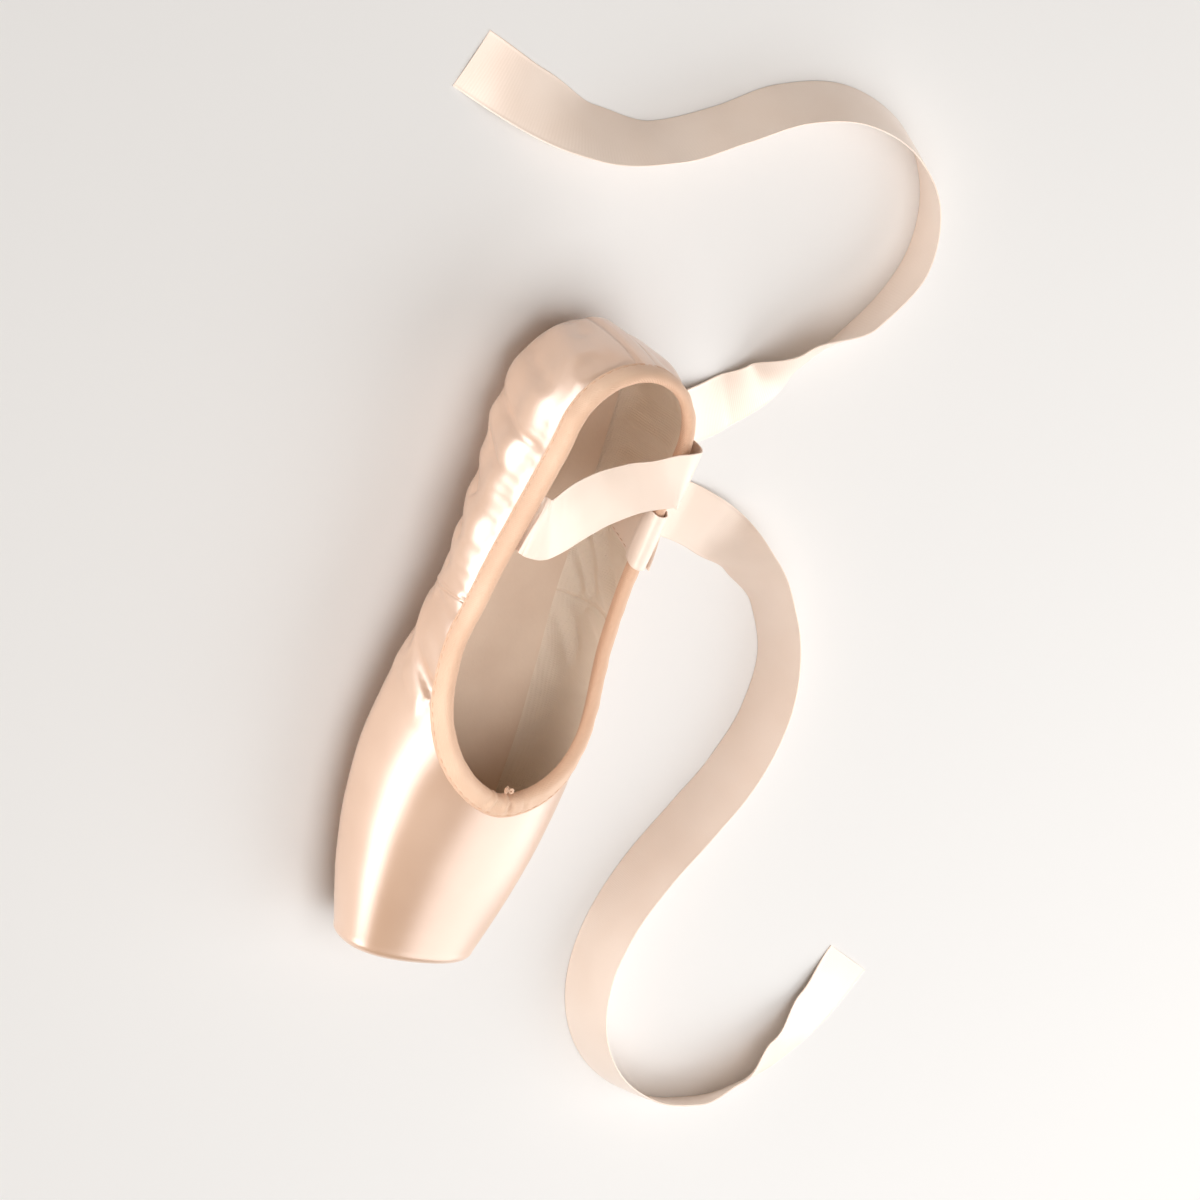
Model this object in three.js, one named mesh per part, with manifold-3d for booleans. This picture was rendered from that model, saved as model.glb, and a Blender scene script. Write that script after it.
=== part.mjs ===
// A satin pointe shoe, empty and unbent on its sole, with its two ribbons lying beside it.
// Millimetres. The last is straight, so the two halves mirror each other in the plane y = 0. Along the last X
// is measured from the back of the heel, and the whole shoe is centred on the origin at the end. The floor is
// z = 0.
import * as THREE from 'three';
import { mergeVertices } from 'three/addons/utils/BufferGeometryUtils.js';
import Module from 'manifold-3d';

const wasm = await Module();
wasm.setup();

// Driving dimensions
const shoeLength = 234;
const heelCentre = 30; // the heel's plan is a half ellipse about this point
const throat = 163; // the vamp runs from here to the platform
const throatStart = 108; // the collar is straight behind this point and closes in before it
const platformWall = 5;
const platformRound = 4; // radius between the flat of the platform and the box
const platformCrown = 0.6; // how far the middle of the platform stands out
const clearance = 0.3; // between pieces that touch
const soleLeather = 2.2;
const soleHeelEdge = 9;
const soleToeEdge = 212;
const soleToeCentre = 190; // the sole's toe end is a half ellipse about this point
const turnedIn = 5; // satin that the sole covers, all round the opening
const insoleBoard = 2;
const fillerMargin = 2.2; // between the filler under the insole and the edge of the turned-in satin
const seamRaise = 0.7; // the folded seam down the back of the heel
const seamHalfTurn = 6; // degrees each side of the back
const bindingTape = 0.9;
const bindingLip = 1.5; // the tape and its drawstring over the edge
const bindingOutside = 7.5;
const bindingInside = 5;
const bindingSlack = 0.35; // the inside of the fold lies looser than the outside
const knotDepth = 3.2;
const knotWidth = 5.2;
const knotHeight = 3;
const ribbonWidth = 22;
const ribbonThickness = 0.5;
const ribbonFromHeel = 65;
const ribbonSewn = 24; // sewn down inside the quarter

// The last at stations along the foot, as the outside of the upper. Half is half the width; low, wide and
// high are the heights of the section's bottom, its widest line and its top. Where the shoe is open, high is
// where the quarters would meet. A power over 2 squares the section below or above its widest line.
const lastRows = [
  { x: 30, half: 28, low: 2.5, wide: 21, high: 84, lowPower: 2.7, highPower: 2.0, wall: 1.4 },
  { x: 45, half: 28.5, low: 2.8, wide: 21.5, high: 82.5, lowPower: 2.6, highPower: 2.0, wall: 1.4 },
  { x: 65, half: 29.2, low: 4.6, wide: 22, high: 79, lowPower: 2.4, highPower: 2.0, wall: 1.4 },
  { x: 90, half: 30.5, low: 6.4, wide: 22, high: 73.5, lowPower: 2.3, highPower: 2.0, wall: 1.4 },
  { x: 118, half: 33.8, low: 5.4, wide: 21.5, high: 66, lowPower: 2.4, highPower: 2.05, wall: 1.6 },
  { x: 142, half: 37.4, low: 3.2, wide: 20.5, high: 58.8, lowPower: 2.6, highPower: 2.1, wall: 2.2 },
  { x: 163, half: 39, low: 2.5, wide: 20, high: 53, lowPower: 2.7, highPower: 2.15, wall: 2.8 },
  { x: 183, half: 37.6, low: 2.5, wide: 20, high: 48.6, lowPower: 2.7, highPower: 2.25, wall: 3 },
  { x: 203, half: 34, low: 3.2, wide: 20.5, high: 44.6, lowPower: 2.7, highPower: 2.35, wall: 3 },
  { x: 220, half: 29.6, low: 4.8, wide: 21.2, high: 41.2, lowPower: 2.6, highPower: 2.4, wall: 3.4 },
  { x: 234, half: 25.4, low: 6.6, wide: 22, high: 38.4, lowPower: 2.5, highPower: 2.4, wall: 4 },
];

// How far up its section each rib of the quarters reaches, in degrees above the widest line
const collarRows = [
  { x: 0, angle: 34 },
  { x: 30, angle: 32 },
  { x: 65, angle: 27 },
  { x: 90, angle: 24.5 },
  { x: throatStart, angle: 24.5 },
];
const throatPower = 1.65; // under 2 draws the throat to a slight point

const soleRows = [
  { x: 20, half: 14.2 },
  { x: 45, half: 14.6 },
  { x: 85, half: 11.6 },
  { x: 120, half: 14.5 },
  { x: 160, half: 21 },
  { x: 178, half: 21.8 },
  { x: 200, half: 20 },
];

const insoleRows = [
  { x: 20, half: 21 },
  { x: 45, half: 21.5 },
  { x: 90, half: 20.5 },
  { x: 160, half: 26.5 },
  { x: 190, half: 25 },
  { x: 210, half: 19 },
];
const insoleHeelEdge = 5;
const insoleToeEdge = 220;
const insoleToeCentre = 196;

// The ribs that the upper is drawn on: first a fan round the heel, then sections along the foot
const fanTurns = [90, 90 - seamHalfTurn, 90 - seamHalfTurn - 1.5, 70, 56, 42, 28, 14];
const sectionPlaces = [
  30, 40, 50, 61, 73, 85, 97, 108, 117, 125, 132, 138, 143.5, 148.5, 153, 156.5, 159.5, 161.8, 163,
  167, 172, 177, 183, 189, 194.5, 199, 202.5, 205, 206.6, 207, 212, 217, 222, 226.5, 230,
];
const rimTurns = [30, 60, 90];
const ribRows = 16;

const satin = new THREE.MeshStandardMaterial({ color: 0xf0dccb, roughness: 0.35, metalness: 0 });
const cotton = new THREE.MeshStandardMaterial({ color: 0xecc9ab, roughness: 0.8, metalness: 0 });
const leather = new THREE.MeshStandardMaterial({ color: 0xbd8066, roughness: 0.7, metalness: 0 });
const lining = new THREE.MeshStandardMaterial({ color: 0xe6d3bf, roughness: 0.9, metalness: 0 });
const ribbonSatin = new THREE.MeshStandardMaterial({ color: 0xf6e3d6, roughness: 0.4, metalness: 0 });

const radians = THREE.MathUtils.degToRad;
const degrees = THREE.MathUtils.radToDeg;

// A column of a table at x: a smooth curve through the rows that never overshoots them
function along(rows, column, x) {
  const end = rows.length - 1;
  if (x <= rows[0].x) return rows[0][column];
  if (x >= rows[end].x) return rows[end][column];
  const i = rows.findIndex((row) => row.x > x) - 1;
  const rise = (k) => (rows[k + 1][column] - rows[k][column]) / (rows[k + 1].x - rows[k].x);
  const slope = (k) => {
    if (k === 0) return 0;
    if (k === end) return rise(end - 1);
    const product = rise(k - 1) * rise(k);
    return product > 0 ? (2 * product) / (rise(k - 1) + rise(k)) : 0;
  };
  const span = rows[i + 1].x - rows[i].x;
  const t = (x - rows[i].x) / span;
  return rows[i][column] * (1 + 2 * t) * (1 - t) ** 2
    + rows[i + 1][column] * (3 - 2 * t) * t ** 2
    + slope(i) * span * t * (1 - t) ** 2
    - slope(i + 1) * span * (1 - t) * t ** 2;
}

// The section of the last at x, drawn in by an inset
function section(x, inset = 0) {
  const half = along(lastRows, 'half', x) - inset;
  const wide = along(lastRows, 'wide', x);
  return {
    half,
    wide,
    back: heelCentre - inset,
    above: along(lastRows, 'high', x) - wide - inset,
    below: wide - along(lastRows, 'low', x) - inset,
    highPower: along(lastRows, 'highPower', x),
    lowPower: along(lastRows, 'lowPower', x),
  };
}

const wallAt = (x) => along(lastRows, 'wall', x);

// Reach of a half ellipse with the given side and back, at a turn from the side towards the back
const fanReach = (side, back, turn) => 1 / Math.hypot(Math.cos(turn) / side, Math.sin(turn) / back);

// A point of a rib, at an angle above (or, negative, below) the widest line
function ribPoint(rib, angle, inset = 0) {
  const at = section(rib.x, inset + rib.trim);
  const power = angle < 0 ? at.lowPower : at.highPower;
  const side = Math.max(0, Math.cos(radians(angle)));
  const up = Math.abs(Math.sin(radians(angle)));
  const scale = (side ** power + up ** power) ** (-1 / power);
  const turn = radians(rib.turn);
  const reach = fanReach(at.half, at.back, turn) * side * scale;
  const height = (angle < 0 ? -at.below : at.above) * up * scale;
  return new THREE.Vector3(
    rib.x + rib.ahead - reach * Math.sin(turn),
    rib.hand * reach * Math.cos(turn),
    at.wide + height,
  );
}

// The ribs of one half: hand is 1 for the left half and -1 for the right
function ribsOf(hand) {
  const fan = fanTurns.map((turn) => ({ x: heelCentre, turn, trim: 0, ahead: 0, hand }));
  const sections = sectionPlaces.map((x) => ({ x, turn: 0, trim: 0, ahead: 0, hand }));
  const rim = rimTurns.map((turn) => ({
    x: shoeLength - platformRound,
    turn: 0,
    trim: platformRound * (1 - Math.cos(radians(turn))),
    ahead: platformRound * Math.sin(radians(turn)),
    hand,
  }));
  return [...fan, ...sections, ...rim];
}

// Angle at which a rib reaches the collar; 90 ahead of the throat, where the halves meet
function collarAngle(rib) {
  const x = rib.x - (rib.turn / 90) * heelCentre;
  if (x >= throat) return 90;
  const side = along(collarRows, 'angle', x);
  if (x <= throatStart) return side;
  const q = (x - throatStart) / (throat - throatStart);
  return side + (90 - side) * (1 - (1 - q ** throatPower) ** (1 / throatPower));
}

// Half width of an outline at x: a table between two half-elliptical ends, all drawn in by a margin
function outlineHalf(outline, x, margin = 0) {
  const heelReach = heelCentre - outline.heelEdge - margin;
  const toeReach = outline.toeEdge - margin - outline.toeCentre;
  const heelShare = THREE.MathUtils.clamp((heelCentre - x) / heelReach, 0, 1);
  const toeShare = THREE.MathUtils.clamp((x - outline.toeCentre) / toeReach, 0, 1);
  return (along(outline.rows, 'half', x) - margin)
    * Math.sqrt(1 - heelShare ** 2)
    * Math.sqrt(1 - toeShare ** 2);
}

const soleOutline = {
  rows: soleRows, heelEdge: soleHeelEdge, toeEdge: soleToeEdge, toeCentre: soleToeCentre,
};
const insoleOutline = {
  rows: insoleRows, heelEdge: insoleHeelEdge, toeEdge: insoleToeEdge, toeCentre: insoleToeCentre,
};

// Angle at which a rib reaches the opening under the foot, on the skin of another rib in the same place; -90
// ahead of the opening, where the halves meet
function openingAngle(rib, skin = rib, inset = 0) {
  if (rib.x >= soleToeEdge - turnedIn) return -90;
  const at = section(skin.x, inset);
  const turn = radians(rib.turn);
  const side = outlineHalf(soleOutline, rib.x, turnedIn);
  const reach = fanReach(side, heelCentre - soleHeelEdge - turnedIn, turn);
  const share = (reach / fanReach(at.half, at.back, turn)) ** at.lowPower;
  return -degrees(Math.atan(((1 - share) / share) ** (1 / at.lowPower)));
}

// Height of the last's underside over a point of its plan
function underside(x, y, inset = 0) {
  const at = section(Math.max(x, heelCentre), inset);
  const out = Math.hypot(y / at.half, Math.max(heelCentre - x, 0) / at.back);
  return at.wide - at.below * (1 - out ** at.lowPower) ** (1 / at.lowPower);
}

// Distance of a point from the outside of the last, as a share of the section: 1 is on it
function lastShare(p) {
  const at = section(Math.max(p.x, heelCentre));
  const out = Math.hypot(p.y / at.half, Math.max(heelCentre - p.x, 0) / at.back);
  const over = p.z > at.wide;
  const up = over ? (p.z - at.wide) / at.above : (at.wide - p.z) / at.below;
  const power = over ? at.highPower : at.lowPower;
  return (out ** power + up ** power) ** (1 / power);
}

function lastGradient(p) {
  const step = 0.5;
  const change = (dx, dy, dz) => (
    lastShare(new THREE.Vector3(p.x + dx, p.y + dy, p.z + dz))
    - lastShare(new THREE.Vector3(p.x - dx, p.y - dy, p.z - dz))
  ) / (2 * step);
  return new THREE.Vector3(change(step, 0, 0), change(0, step, 0), change(0, 0, step));
}

// The point moved square to the last until it stands the given height off its outside
function offLast(point, lift) {
  const p = point.clone();
  for (let pass = 0; pass < 3; pass += 1) {
    const gradient = lastGradient(p);
    p.addScaledVector(gradient, (1 - lastShare(p)) / gradient.lengthSq());
  }
  return p.addScaledVector(lastGradient(p).normalize(), lift);
}

// A closed mesh from triangles of points: equal points are joined and its faces turned outwards
function solid(faces) {
  const loose = new THREE.BufferGeometry();
  loose.setAttribute('position', new THREE.Float32BufferAttribute(
    faces.flat().flatMap((p) => [p.x, p.y, p.z]), 3,
  ));
  const joined = mergeVertices(loose, 1e-3);
  const { array } = joined.index;
  const place = joined.getAttribute('position');
  const corner = (k) => new THREE.Vector3().fromBufferAttribute(place, k);
  const index = [];
  let volume = 0;
  for (let k = 0; k < array.length; k += 3) {
    const [a, b, c] = [array[k], array[k + 1], array[k + 2]];
    if (a !== b && b !== c && c !== a) {
      index.push(a, b, c);
      volume += corner(a).dot(corner(b).cross(corner(c)));
    }
  }
  joined.setIndex(volume < 0 ? index.reverse() : index);
  joined.computeVertexNormals();
  return joined;
}

// A closed mesh of rings of points, each ring joined to the next
function sweep(rings, closed = false) {
  const faces = [];
  const joints = closed ? rings.length : rings.length - 1;
  for (let i = 0; i < joints; i += 1) {
    const near = rings[i];
    const far = rings[(i + 1) % rings.length];
    near.forEach((p, k) => {
      const next = (k + 1) % near.length;
      faces.push([p, near[next], far[next]], [p, far[next], far[k]]);
    });
  }
  if (!closed) {
    const [first, final] = [rings[0], rings[rings.length - 1]];
    for (let k = 1; k < first.length - 1; k += 1) {
      faces.push([first[0], first[k + 1], first[k]], [final[0], final[k], final[k + 1]]);
    }
  }
  return solid(faces);
}

function toManifold(geometry) {
  return new wasm.Manifold(new wasm.Mesh({
    numProp: 3,
    vertProperties: new Float32Array(geometry.getAttribute('position').array),
    triVerts: new Uint32Array(geometry.index.array),
  }));
}

function fromManifold(body) {
  const mesh = body.getMesh();
  const geometry = new THREE.BufferGeometry();
  geometry.setAttribute('position', new THREE.BufferAttribute(mesh.vertProperties, 3));
  geometry.setIndex(new THREE.BufferAttribute(mesh.triVerts, 1));
  geometry.computeVertexNormals();
  return geometry;
}

// The upper: vamp, box and quarters as one shell between the collar and the opening under the foot
function upper() {
  const faces = [];
  const boxStart = 195; // ahead of this the lining falls back from the outside, to leave the platform's wall
  const boxShare = 1 - platformWall / (shoeLength - boxStart);
  const inward = (x) => (x < boxStart ? x : boxStart + (x - boxStart) * boxShare);
  const seamTop = bindingOutside + 2;
  const seamFoot = soleHeelEdge - 2;

  const skins = [1, -1].map((hand) => ribsOf(hand).map((rib) => {
    const top = collarAngle(rib);
    const edge = ribPoint(rib, top);
    const inner = { ...rib, x: inward(rib.x + rib.ahead) - rib.ahead };
    const wall = wallAt(rib.x);
    const [outsideStart, insideStart] = [openingAngle(rib), openingAngle(rib, inner, wall)];
    const row = (start, k) => start + ((top - start) * k) / ribRows;
    const outside = [];
    const inside = [];
    for (let k = 0; k <= ribRows; k += 1) {
      const plain = ribPoint(rib, row(outsideStart, k));
      const onSeam = rib.turn >= 90 - seamHalfTurn && edge.z - plain.z > seamTop && plain.x < seamFoot;
      outside.push(onSeam ? ribPoint(rib, row(outsideStart, k), -seamRaise) : plain);
      inside.push(ribPoint(inner, row(insideStart, k), wall));
    }
    return { outside, inside, closedTop: top === 90, closedBottom: outsideStart === -90 };
  }));

  const quad = (a, b, c, d, hand) => (
    hand > 0 ? faces.push([a, d, c], [a, c, b]) : faces.push([a, b, c], [a, c, d])
  );
  skins.forEach((ribs, side) => {
    const hand = side === 0 ? 1 : -1;
    for (let i = 0; i < ribs.length - 1; i += 1) {
      const [near, far] = [ribs[i], ribs[i + 1]];
      for (let k = 0; k < ribRows; k += 1) {
        quad(near.outside[k], far.outside[k], far.outside[k + 1], near.outside[k + 1], hand);
        quad(near.inside[k], far.inside[k], far.inside[k + 1], near.inside[k + 1], -hand);
      }
      if (!near.closedTop) {
        quad(near.outside[ribRows], far.outside[ribRows], far.inside[ribRows], near.inside[ribRows], hand);
      }
      if (!near.closedBottom) {
        quad(near.outside[0], far.outside[0], far.inside[0], near.inside[0], -hand);
      }
    }
    const tip = ribs[ribs.length - 1];
    const middle = tip.outside[ribRows].clone().add(tip.outside[0]).multiplyScalar(0.5);
    const outsideMiddle = new THREE.Vector3(shoeLength + platformCrown, 0, middle.z);
    const insideMiddle = new THREE.Vector3(shoeLength - platformWall + platformCrown, 0, middle.z);
    for (let k = 0; k < ribRows; k += 1) {
      const outside = [outsideMiddle, tip.outside[k], tip.outside[k + 1]];
      const inside = [insideMiddle, tip.inside[k + 1], tip.inside[k]];
      faces.push(hand > 0 ? outside : outside.reverse(), hand > 0 ? inside : inside.reverse());
    }
  });
  return solid(faces);
}

// A thin layer under the foot, between two heights given over its plan
function layer(outline, margin, bottom, top) {
  const stations = 30;
  const across = [-1, -0.85, -0.65, -0.4, 0, 0.4, 0.65, 0.85, 1];
  const [start, finish] = [outline.heelEdge + margin, outline.toeEdge - margin];
  const rings = [];
  for (let i = 0; i <= stations; i += 1) {
    const x = start + ((finish - start) * (1 - Math.cos((Math.PI * i) / stations))) / 2;
    const half = outlineHalf(outline, x, margin);
    const upside = across.map((share) => new THREE.Vector3(x, share * half, top(x, share * half)));
    const downside = across.map((share) => new THREE.Vector3(x, share * half, bottom(x, share * half)));
    rings.push([...upside, ...downside.reverse()]);
  }
  return sweep(rings);
}

// The leather sole, cupped to the last, with flats under the heel and the ball
function outsole() {
  const flatness = 0.25; // what wears off the leather where it is flat on the floor
  const stack = clearance + soleLeather;
  return layer(
    soleOutline,
    0,
    (x, y) => Math.max(0, underside(x, y) - stack - flatness),
    (x, y) => underside(x, y) - clearance,
  );
}

// The sock lining on its board, with the filler below it that comes down through the opening to the leather
function insole() {
  const lift = (x, y) => underside(x, y, wallAt(x)) + clearance;
  const board = layer(insoleOutline, 0, lift, (x, y) => lift(x, y) + insoleBoard);
  const filler = layer(
    soleOutline,
    turnedIn + fillerMargin,
    (x, y) => underside(x, y),
    (x, y) => lift(x, y) + insoleBoard / 2,
  );
  return fromManifold(toManifold(board).add(toManifold(filler)));
}

// The collar's edge as a loop from the throat round the left, the heel and the right, with the directions off
// the last and over the edge at each point
function collarLoop() {
  const openRibs = (hand) => ribsOf(hand).filter((rib) => rib.x <= throat);
  const left = openRibs(1).reverse();
  const right = openRibs(-1).slice(1, -1);
  const points = [...left, ...right].map((rib) => ribPoint(rib, collarAngle(rib)));
  return points.map((p, i) => {
    const ahead = points[(i + 1) % points.length];
    const behind = points[(i + points.length - 1) % points.length];
    const off = lastGradient(p).normalize();
    const over = off.clone().cross(ahead.clone().sub(behind)).normalize();
    return { p, off, over };
  });
}

// The collar's edge over one place on the quarter of one hand
function collarEdge(x, hand) {
  const at = (place) => {
    const rib = { x: place, turn: 0, trim: 0, ahead: 0, hand };
    return ribPoint(rib, collarAngle(rib));
  };
  const p = at(x);
  const off = lastGradient(p).normalize();
  const over = off.clone().cross(at(x - hand).sub(at(x + hand))).normalize();
  return { p, off, over };
}

// A point beside the collar's edge: down the upper from it, or over it where negative, and off the outside
const besideCollar = (edge, down, lift) => offLast(edge.p.clone().addScaledVector(edge.over, -down), lift);

// The tape folded over the collar's edge, with the drawstring in its fold
function binding() {
  const rings = collarLoop().map((edge) => {
    const wall = wallAt(edge.p.x) + bindingSlack;
    const out = clearance + bindingTape;
    const profile = [
      { down: bindingOutside, lift: clearance },
      { down: bindingOutside, lift: out },
      { down: bindingOutside / 2, lift: out + 0.3 },
      { down: 0.2, lift: out + 0.1 },
      { down: -bindingLip, lift: -wall / 2 },
      { down: 0.2, lift: -wall - out },
      { down: bindingInside, lift: -wall - out },
      { down: bindingInside, lift: -wall - clearance },
      { down: -clearance, lift: -wall - clearance },
      { down: -clearance, lift: clearance },
      { down: bindingOutside / 2, lift: clearance },
    ];
    return profile.map(({ down, lift }) => besideCollar(edge, down, lift));
  });
  return sweep(rings, true);
}

// The drawstring's knot, drawn up in the gather at the throat
function drawstringKnot() {
  const knot = new THREE.SphereGeometry(1, 12, 8);
  knot.scale(knotDepth / 2, knotWidth / 2, knotHeight / 2);
  const place = besideCollar(collarLoop()[0], -bindingLip - clearance - knotDepth / 2, -wallAt(throat) / 2);
  knot.translate(place.x, place.y, place.z);
  knot.deleteAttribute('normal');
  knot.deleteAttribute('uv');
  return mergeVertices(knot, 1e-3);
}

// A flat ribbon along a route: the height of its middle is given where it hangs, and on the floor it rests.
// Lift is the angle of its width above the level. At first it lies along the collar.
function ribbon(route, hand) {
  const edge = collarEdge(ribbonFromHeel, hand);
  const outward = Math.sign((route[4].y - route[0].y) * hand);
  const collarLine = edge.over.clone().cross(edge.off).multiplyScalar(outward);
  const curve = new THREE.CatmullRomCurve3(
    route.map(({ x, y, z }) => new THREE.Vector3(x, y, z)), false, 'catmullrom', 0.5,
  );
  const steps = (route.length - 1) * 3;
  const rings = [];
  for (let i = 0; i <= steps; i += 1) {
    const u = (i / steps) * (route.length - 1);
    const k = Math.min(Math.floor(u), route.length - 2);
    const ease = THREE.MathUtils.smoothstep(u - k, 0, 1);
    const lift = radians(THREE.MathUtils.lerp(route[k].lift, route[k + 1].lift, ease));
    const p = curve.getPoint(i / steps);
    const ahead = curve.getTangent(i / steps);
    const level = new THREE.Vector3(-ahead.y, ahead.x, 0).normalize();
    level.lerp(collarLine, 1 - THREE.MathUtils.smoothstep(u, 0, 3));
    level.addScaledVector(ahead, -level.dot(ahead)).normalize();
    const rise = ahead.clone().cross(level);
    const width = level.clone().multiplyScalar(Math.cos(lift)).addScaledVector(rise, Math.sin(lift));
    const face = ahead.clone().cross(width);
    const reach = (ribbonWidth / 2) * Math.abs(width.z) + (ribbonThickness / 2) * Math.abs(face.z);
    p.z = Math.max(p.z, reach + 0.05);
    rings.push([[1, 1], [-1, 1], [-1, -1], [1, -1]].map(([side, up]) => p.clone()
      .addScaledVector(width, (side * ribbonWidth) / 2)
      .addScaledVector(face, (up * ribbonThickness) / 2)));
  }
  return sweep(rings);
}

// Routes of the ribbons, chosen by hand. The left one goes from the lip of the collar to the floor and along it.
// The right one crosses the collar, sagging from the end sewn inside its quarter to the far lip, and goes down
// there.
const leftRoute = [
  { x: 65, y: 29.4, z: 47.5, lift: 0 },
  { x: 65, y: 31.5, z: 35, lift: 0 },
  { x: 65, y: 38, z: 20, lift: 0 },
  { x: 66, y: 50, z: 8, lift: 0 },
  { x: 68, y: 66, z: 1.6, lift: 0 },
  { x: 73, y: 84, z: 0, lift: 12 },
  { x: 83, y: 102, z: 0, lift: 50 },
  { x: 98, y: 117, z: 0, lift: 72 },
  { x: 118, y: 127, z: 0, lift: 78 },
  { x: 140, y: 129, z: 0, lift: 74 },
  { x: 162, y: 124, z: 0, lift: 68 },
  { x: 182, y: 114, z: 0, lift: 66 },
  { x: 202, y: 103, z: 0, lift: 68 },
  { x: 223, y: 95, z: 0, lift: 72 },
  { x: 245, y: 93, z: 0, lift: 75 },
  { x: 266, y: 99, z: 0, lift: 77 },
  { x: 283, y: 113, z: 0, lift: 77 },
  { x: 293, y: 133, z: 0, lift: 75 },
  { x: 295, y: 155, z: 0, lift: 68 },
  { x: 288, y: 176, z: 0, lift: 52 },
  { x: 274, y: 193, z: 0, lift: 28 },
  { x: 256, y: 206, z: 0, lift: 8 },
  { x: 236, y: 215, z: 0, lift: 0 },
];
const rightRoute = [
  { x: 65, y: -22.1, z: 47.1, lift: 0 },
  { x: 65.2, y: -21.8, z: 48.3, lift: 0 },
  { x: 65.4, y: -20, z: 49.9, lift: 0 },
  { x: 65, y: -16.8, z: 49.9, lift: 0 },
  { x: 62.8, y: -11, z: 47.4, lift: 0 },
  { x: 58.4, y: -3.5, z: 44.9, lift: 0 },
  { x: 52.6, y: 4.6, z: 45.3, lift: 2 },
  { x: 46.6, y: 12, z: 49.4, lift: 5 },
  { x: 42.2, y: 17.6, z: 55.2, lift: 7.5 },
  { x: 40.2, y: 20.8, z: 57.1, lift: 9 },
  { x: 39.2, y: 24.2, z: 57.8, lift: 9.5 },
  { x: 38.8, y: 27.6, z: 55.4, lift: 9 },
  { x: 38.6, y: 29.6, z: 50.5, lift: 6 },
  { x: 38.5, y: 30.8, z: 42, lift: 3 },
  { x: 38.4, y: 33, z: 31.5, lift: 0 },
  { x: 38, y: 37.6, z: 20.5, lift: 0 },
  { x: 37, y: 45, z: 11, lift: 0 },
  { x: 34.5, y: 55, z: 4.8, lift: 0 },
  { x: 29, y: 68, z: 1.6, lift: 0 },
  { x: 19, y: 82, z: 0, lift: 12 },
  { x: 5, y: 94, z: 0, lift: 46 },
  { x: -12.5, y: 113, z: 0, lift: 72 },
  { x: -36, y: 125, z: 0, lift: 77 },
  { x: -61, y: 121, z: 0, lift: 76 },
  { x: -80, y: 103, z: 0, lift: 72 },
  { x: -88, y: 77, z: 0, lift: 70 },
  { x: -84, y: 51, z: 0, lift: 72 },
  { x: -73, y: 29, z: 0, lift: 75 },
  { x: -63, y: 6, z: 0, lift: 70 },
  { x: -61, y: -20, z: 0, lift: 48 },
  { x: -67, y: -46, z: 0, lift: 18 },
  { x: -76, y: -72, z: 0, lift: 0 },
];

// The end of a ribbon sewn flat inside its quarter: it runs up the wall and the tape, and may go over the lip
function sewnEnd(hand, overLip) {
  const wall = wallAt(ribbonFromHeel) + bindingSlack;
  const [onWall, onTape] = [wall + clearance, wall + clearance * 2 + bindingTape];
  const inside = [
    { down: ribbonSewn, lift: -onWall },
    { down: 16, lift: -onWall },
    { down: 9, lift: -onWall },
    { down: 6.5, lift: -onTape },
    { down: 3, lift: -onTape },
    { down: 0.8, lift: -onTape },
  ];
  const over = [
    { down: -0.6, lift: -onTape },
    { down: -bindingLip - clearance - 0.2, lift: -wall / 2 - 1.2 },
    { down: -bindingLip - clearance - 0.2, lift: -wall / 2 + 1.2 },
    { down: -0.6, lift: onTape - wall + 0.5 },
    { down: 1.5, lift: onTape - wall + 0.5 },
  ];
  const route = overLip ? [...inside, ...over] : inside;
  const edges = [-1, 1].map((side) => collarEdge(ribbonFromHeel + (side * ribbonWidth) / 2, hand));
  const rings = route.map((row, k) => {
    const before = route[Math.max(k - 1, 0)];
    const after = route[Math.min(k + 1, route.length - 1)];
    const step = Math.hypot(after.down - before.down, after.lift - before.lift);
    const away = {
      down: ((after.lift - before.lift) / step) * ribbonThickness,
      lift: (-(after.down - before.down) / step) * ribbonThickness,
    };
    return [
      besideCollar(edges[0], row.down, row.lift),
      besideCollar(edges[1], row.down, row.lift),
      besideCollar(edges[1], row.down - away.down, row.lift - away.lift),
      besideCollar(edges[0], row.down - away.down, row.lift - away.lift),
    ];
  });
  return sweep(rings);
}

const shoe = new THREE.Group();
shoe.position.set(-shoeLength / 2, 0, 0);

function addPiece(name, geometry, material) {
  const piece = new THREE.Mesh(geometry, material);
  piece.name = name;
  shoe.add(piece);
}

addPiece('upper', upper(), satin);
addPiece('outsole', outsole(), leather);
addPiece('insole', insole(), lining);
addPiece('binding', binding(), cotton);
addPiece('drawstring_knot', drawstringKnot(), cotton);
addPiece('ribbon_left_sewn_end', sewnEnd(1, true), ribbonSatin);
addPiece('ribbon_right_sewn_end', sewnEnd(-1, false), ribbonSatin);
addPiece('ribbon_left', ribbon(leftRoute, 1), ribbonSatin);
addPiece('ribbon_right', ribbon(rightRoute, -1), ribbonSatin);

export default shoe;
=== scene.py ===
import math

import bpy
import numpy as np
from mathutils import Matrix, Vector


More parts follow.
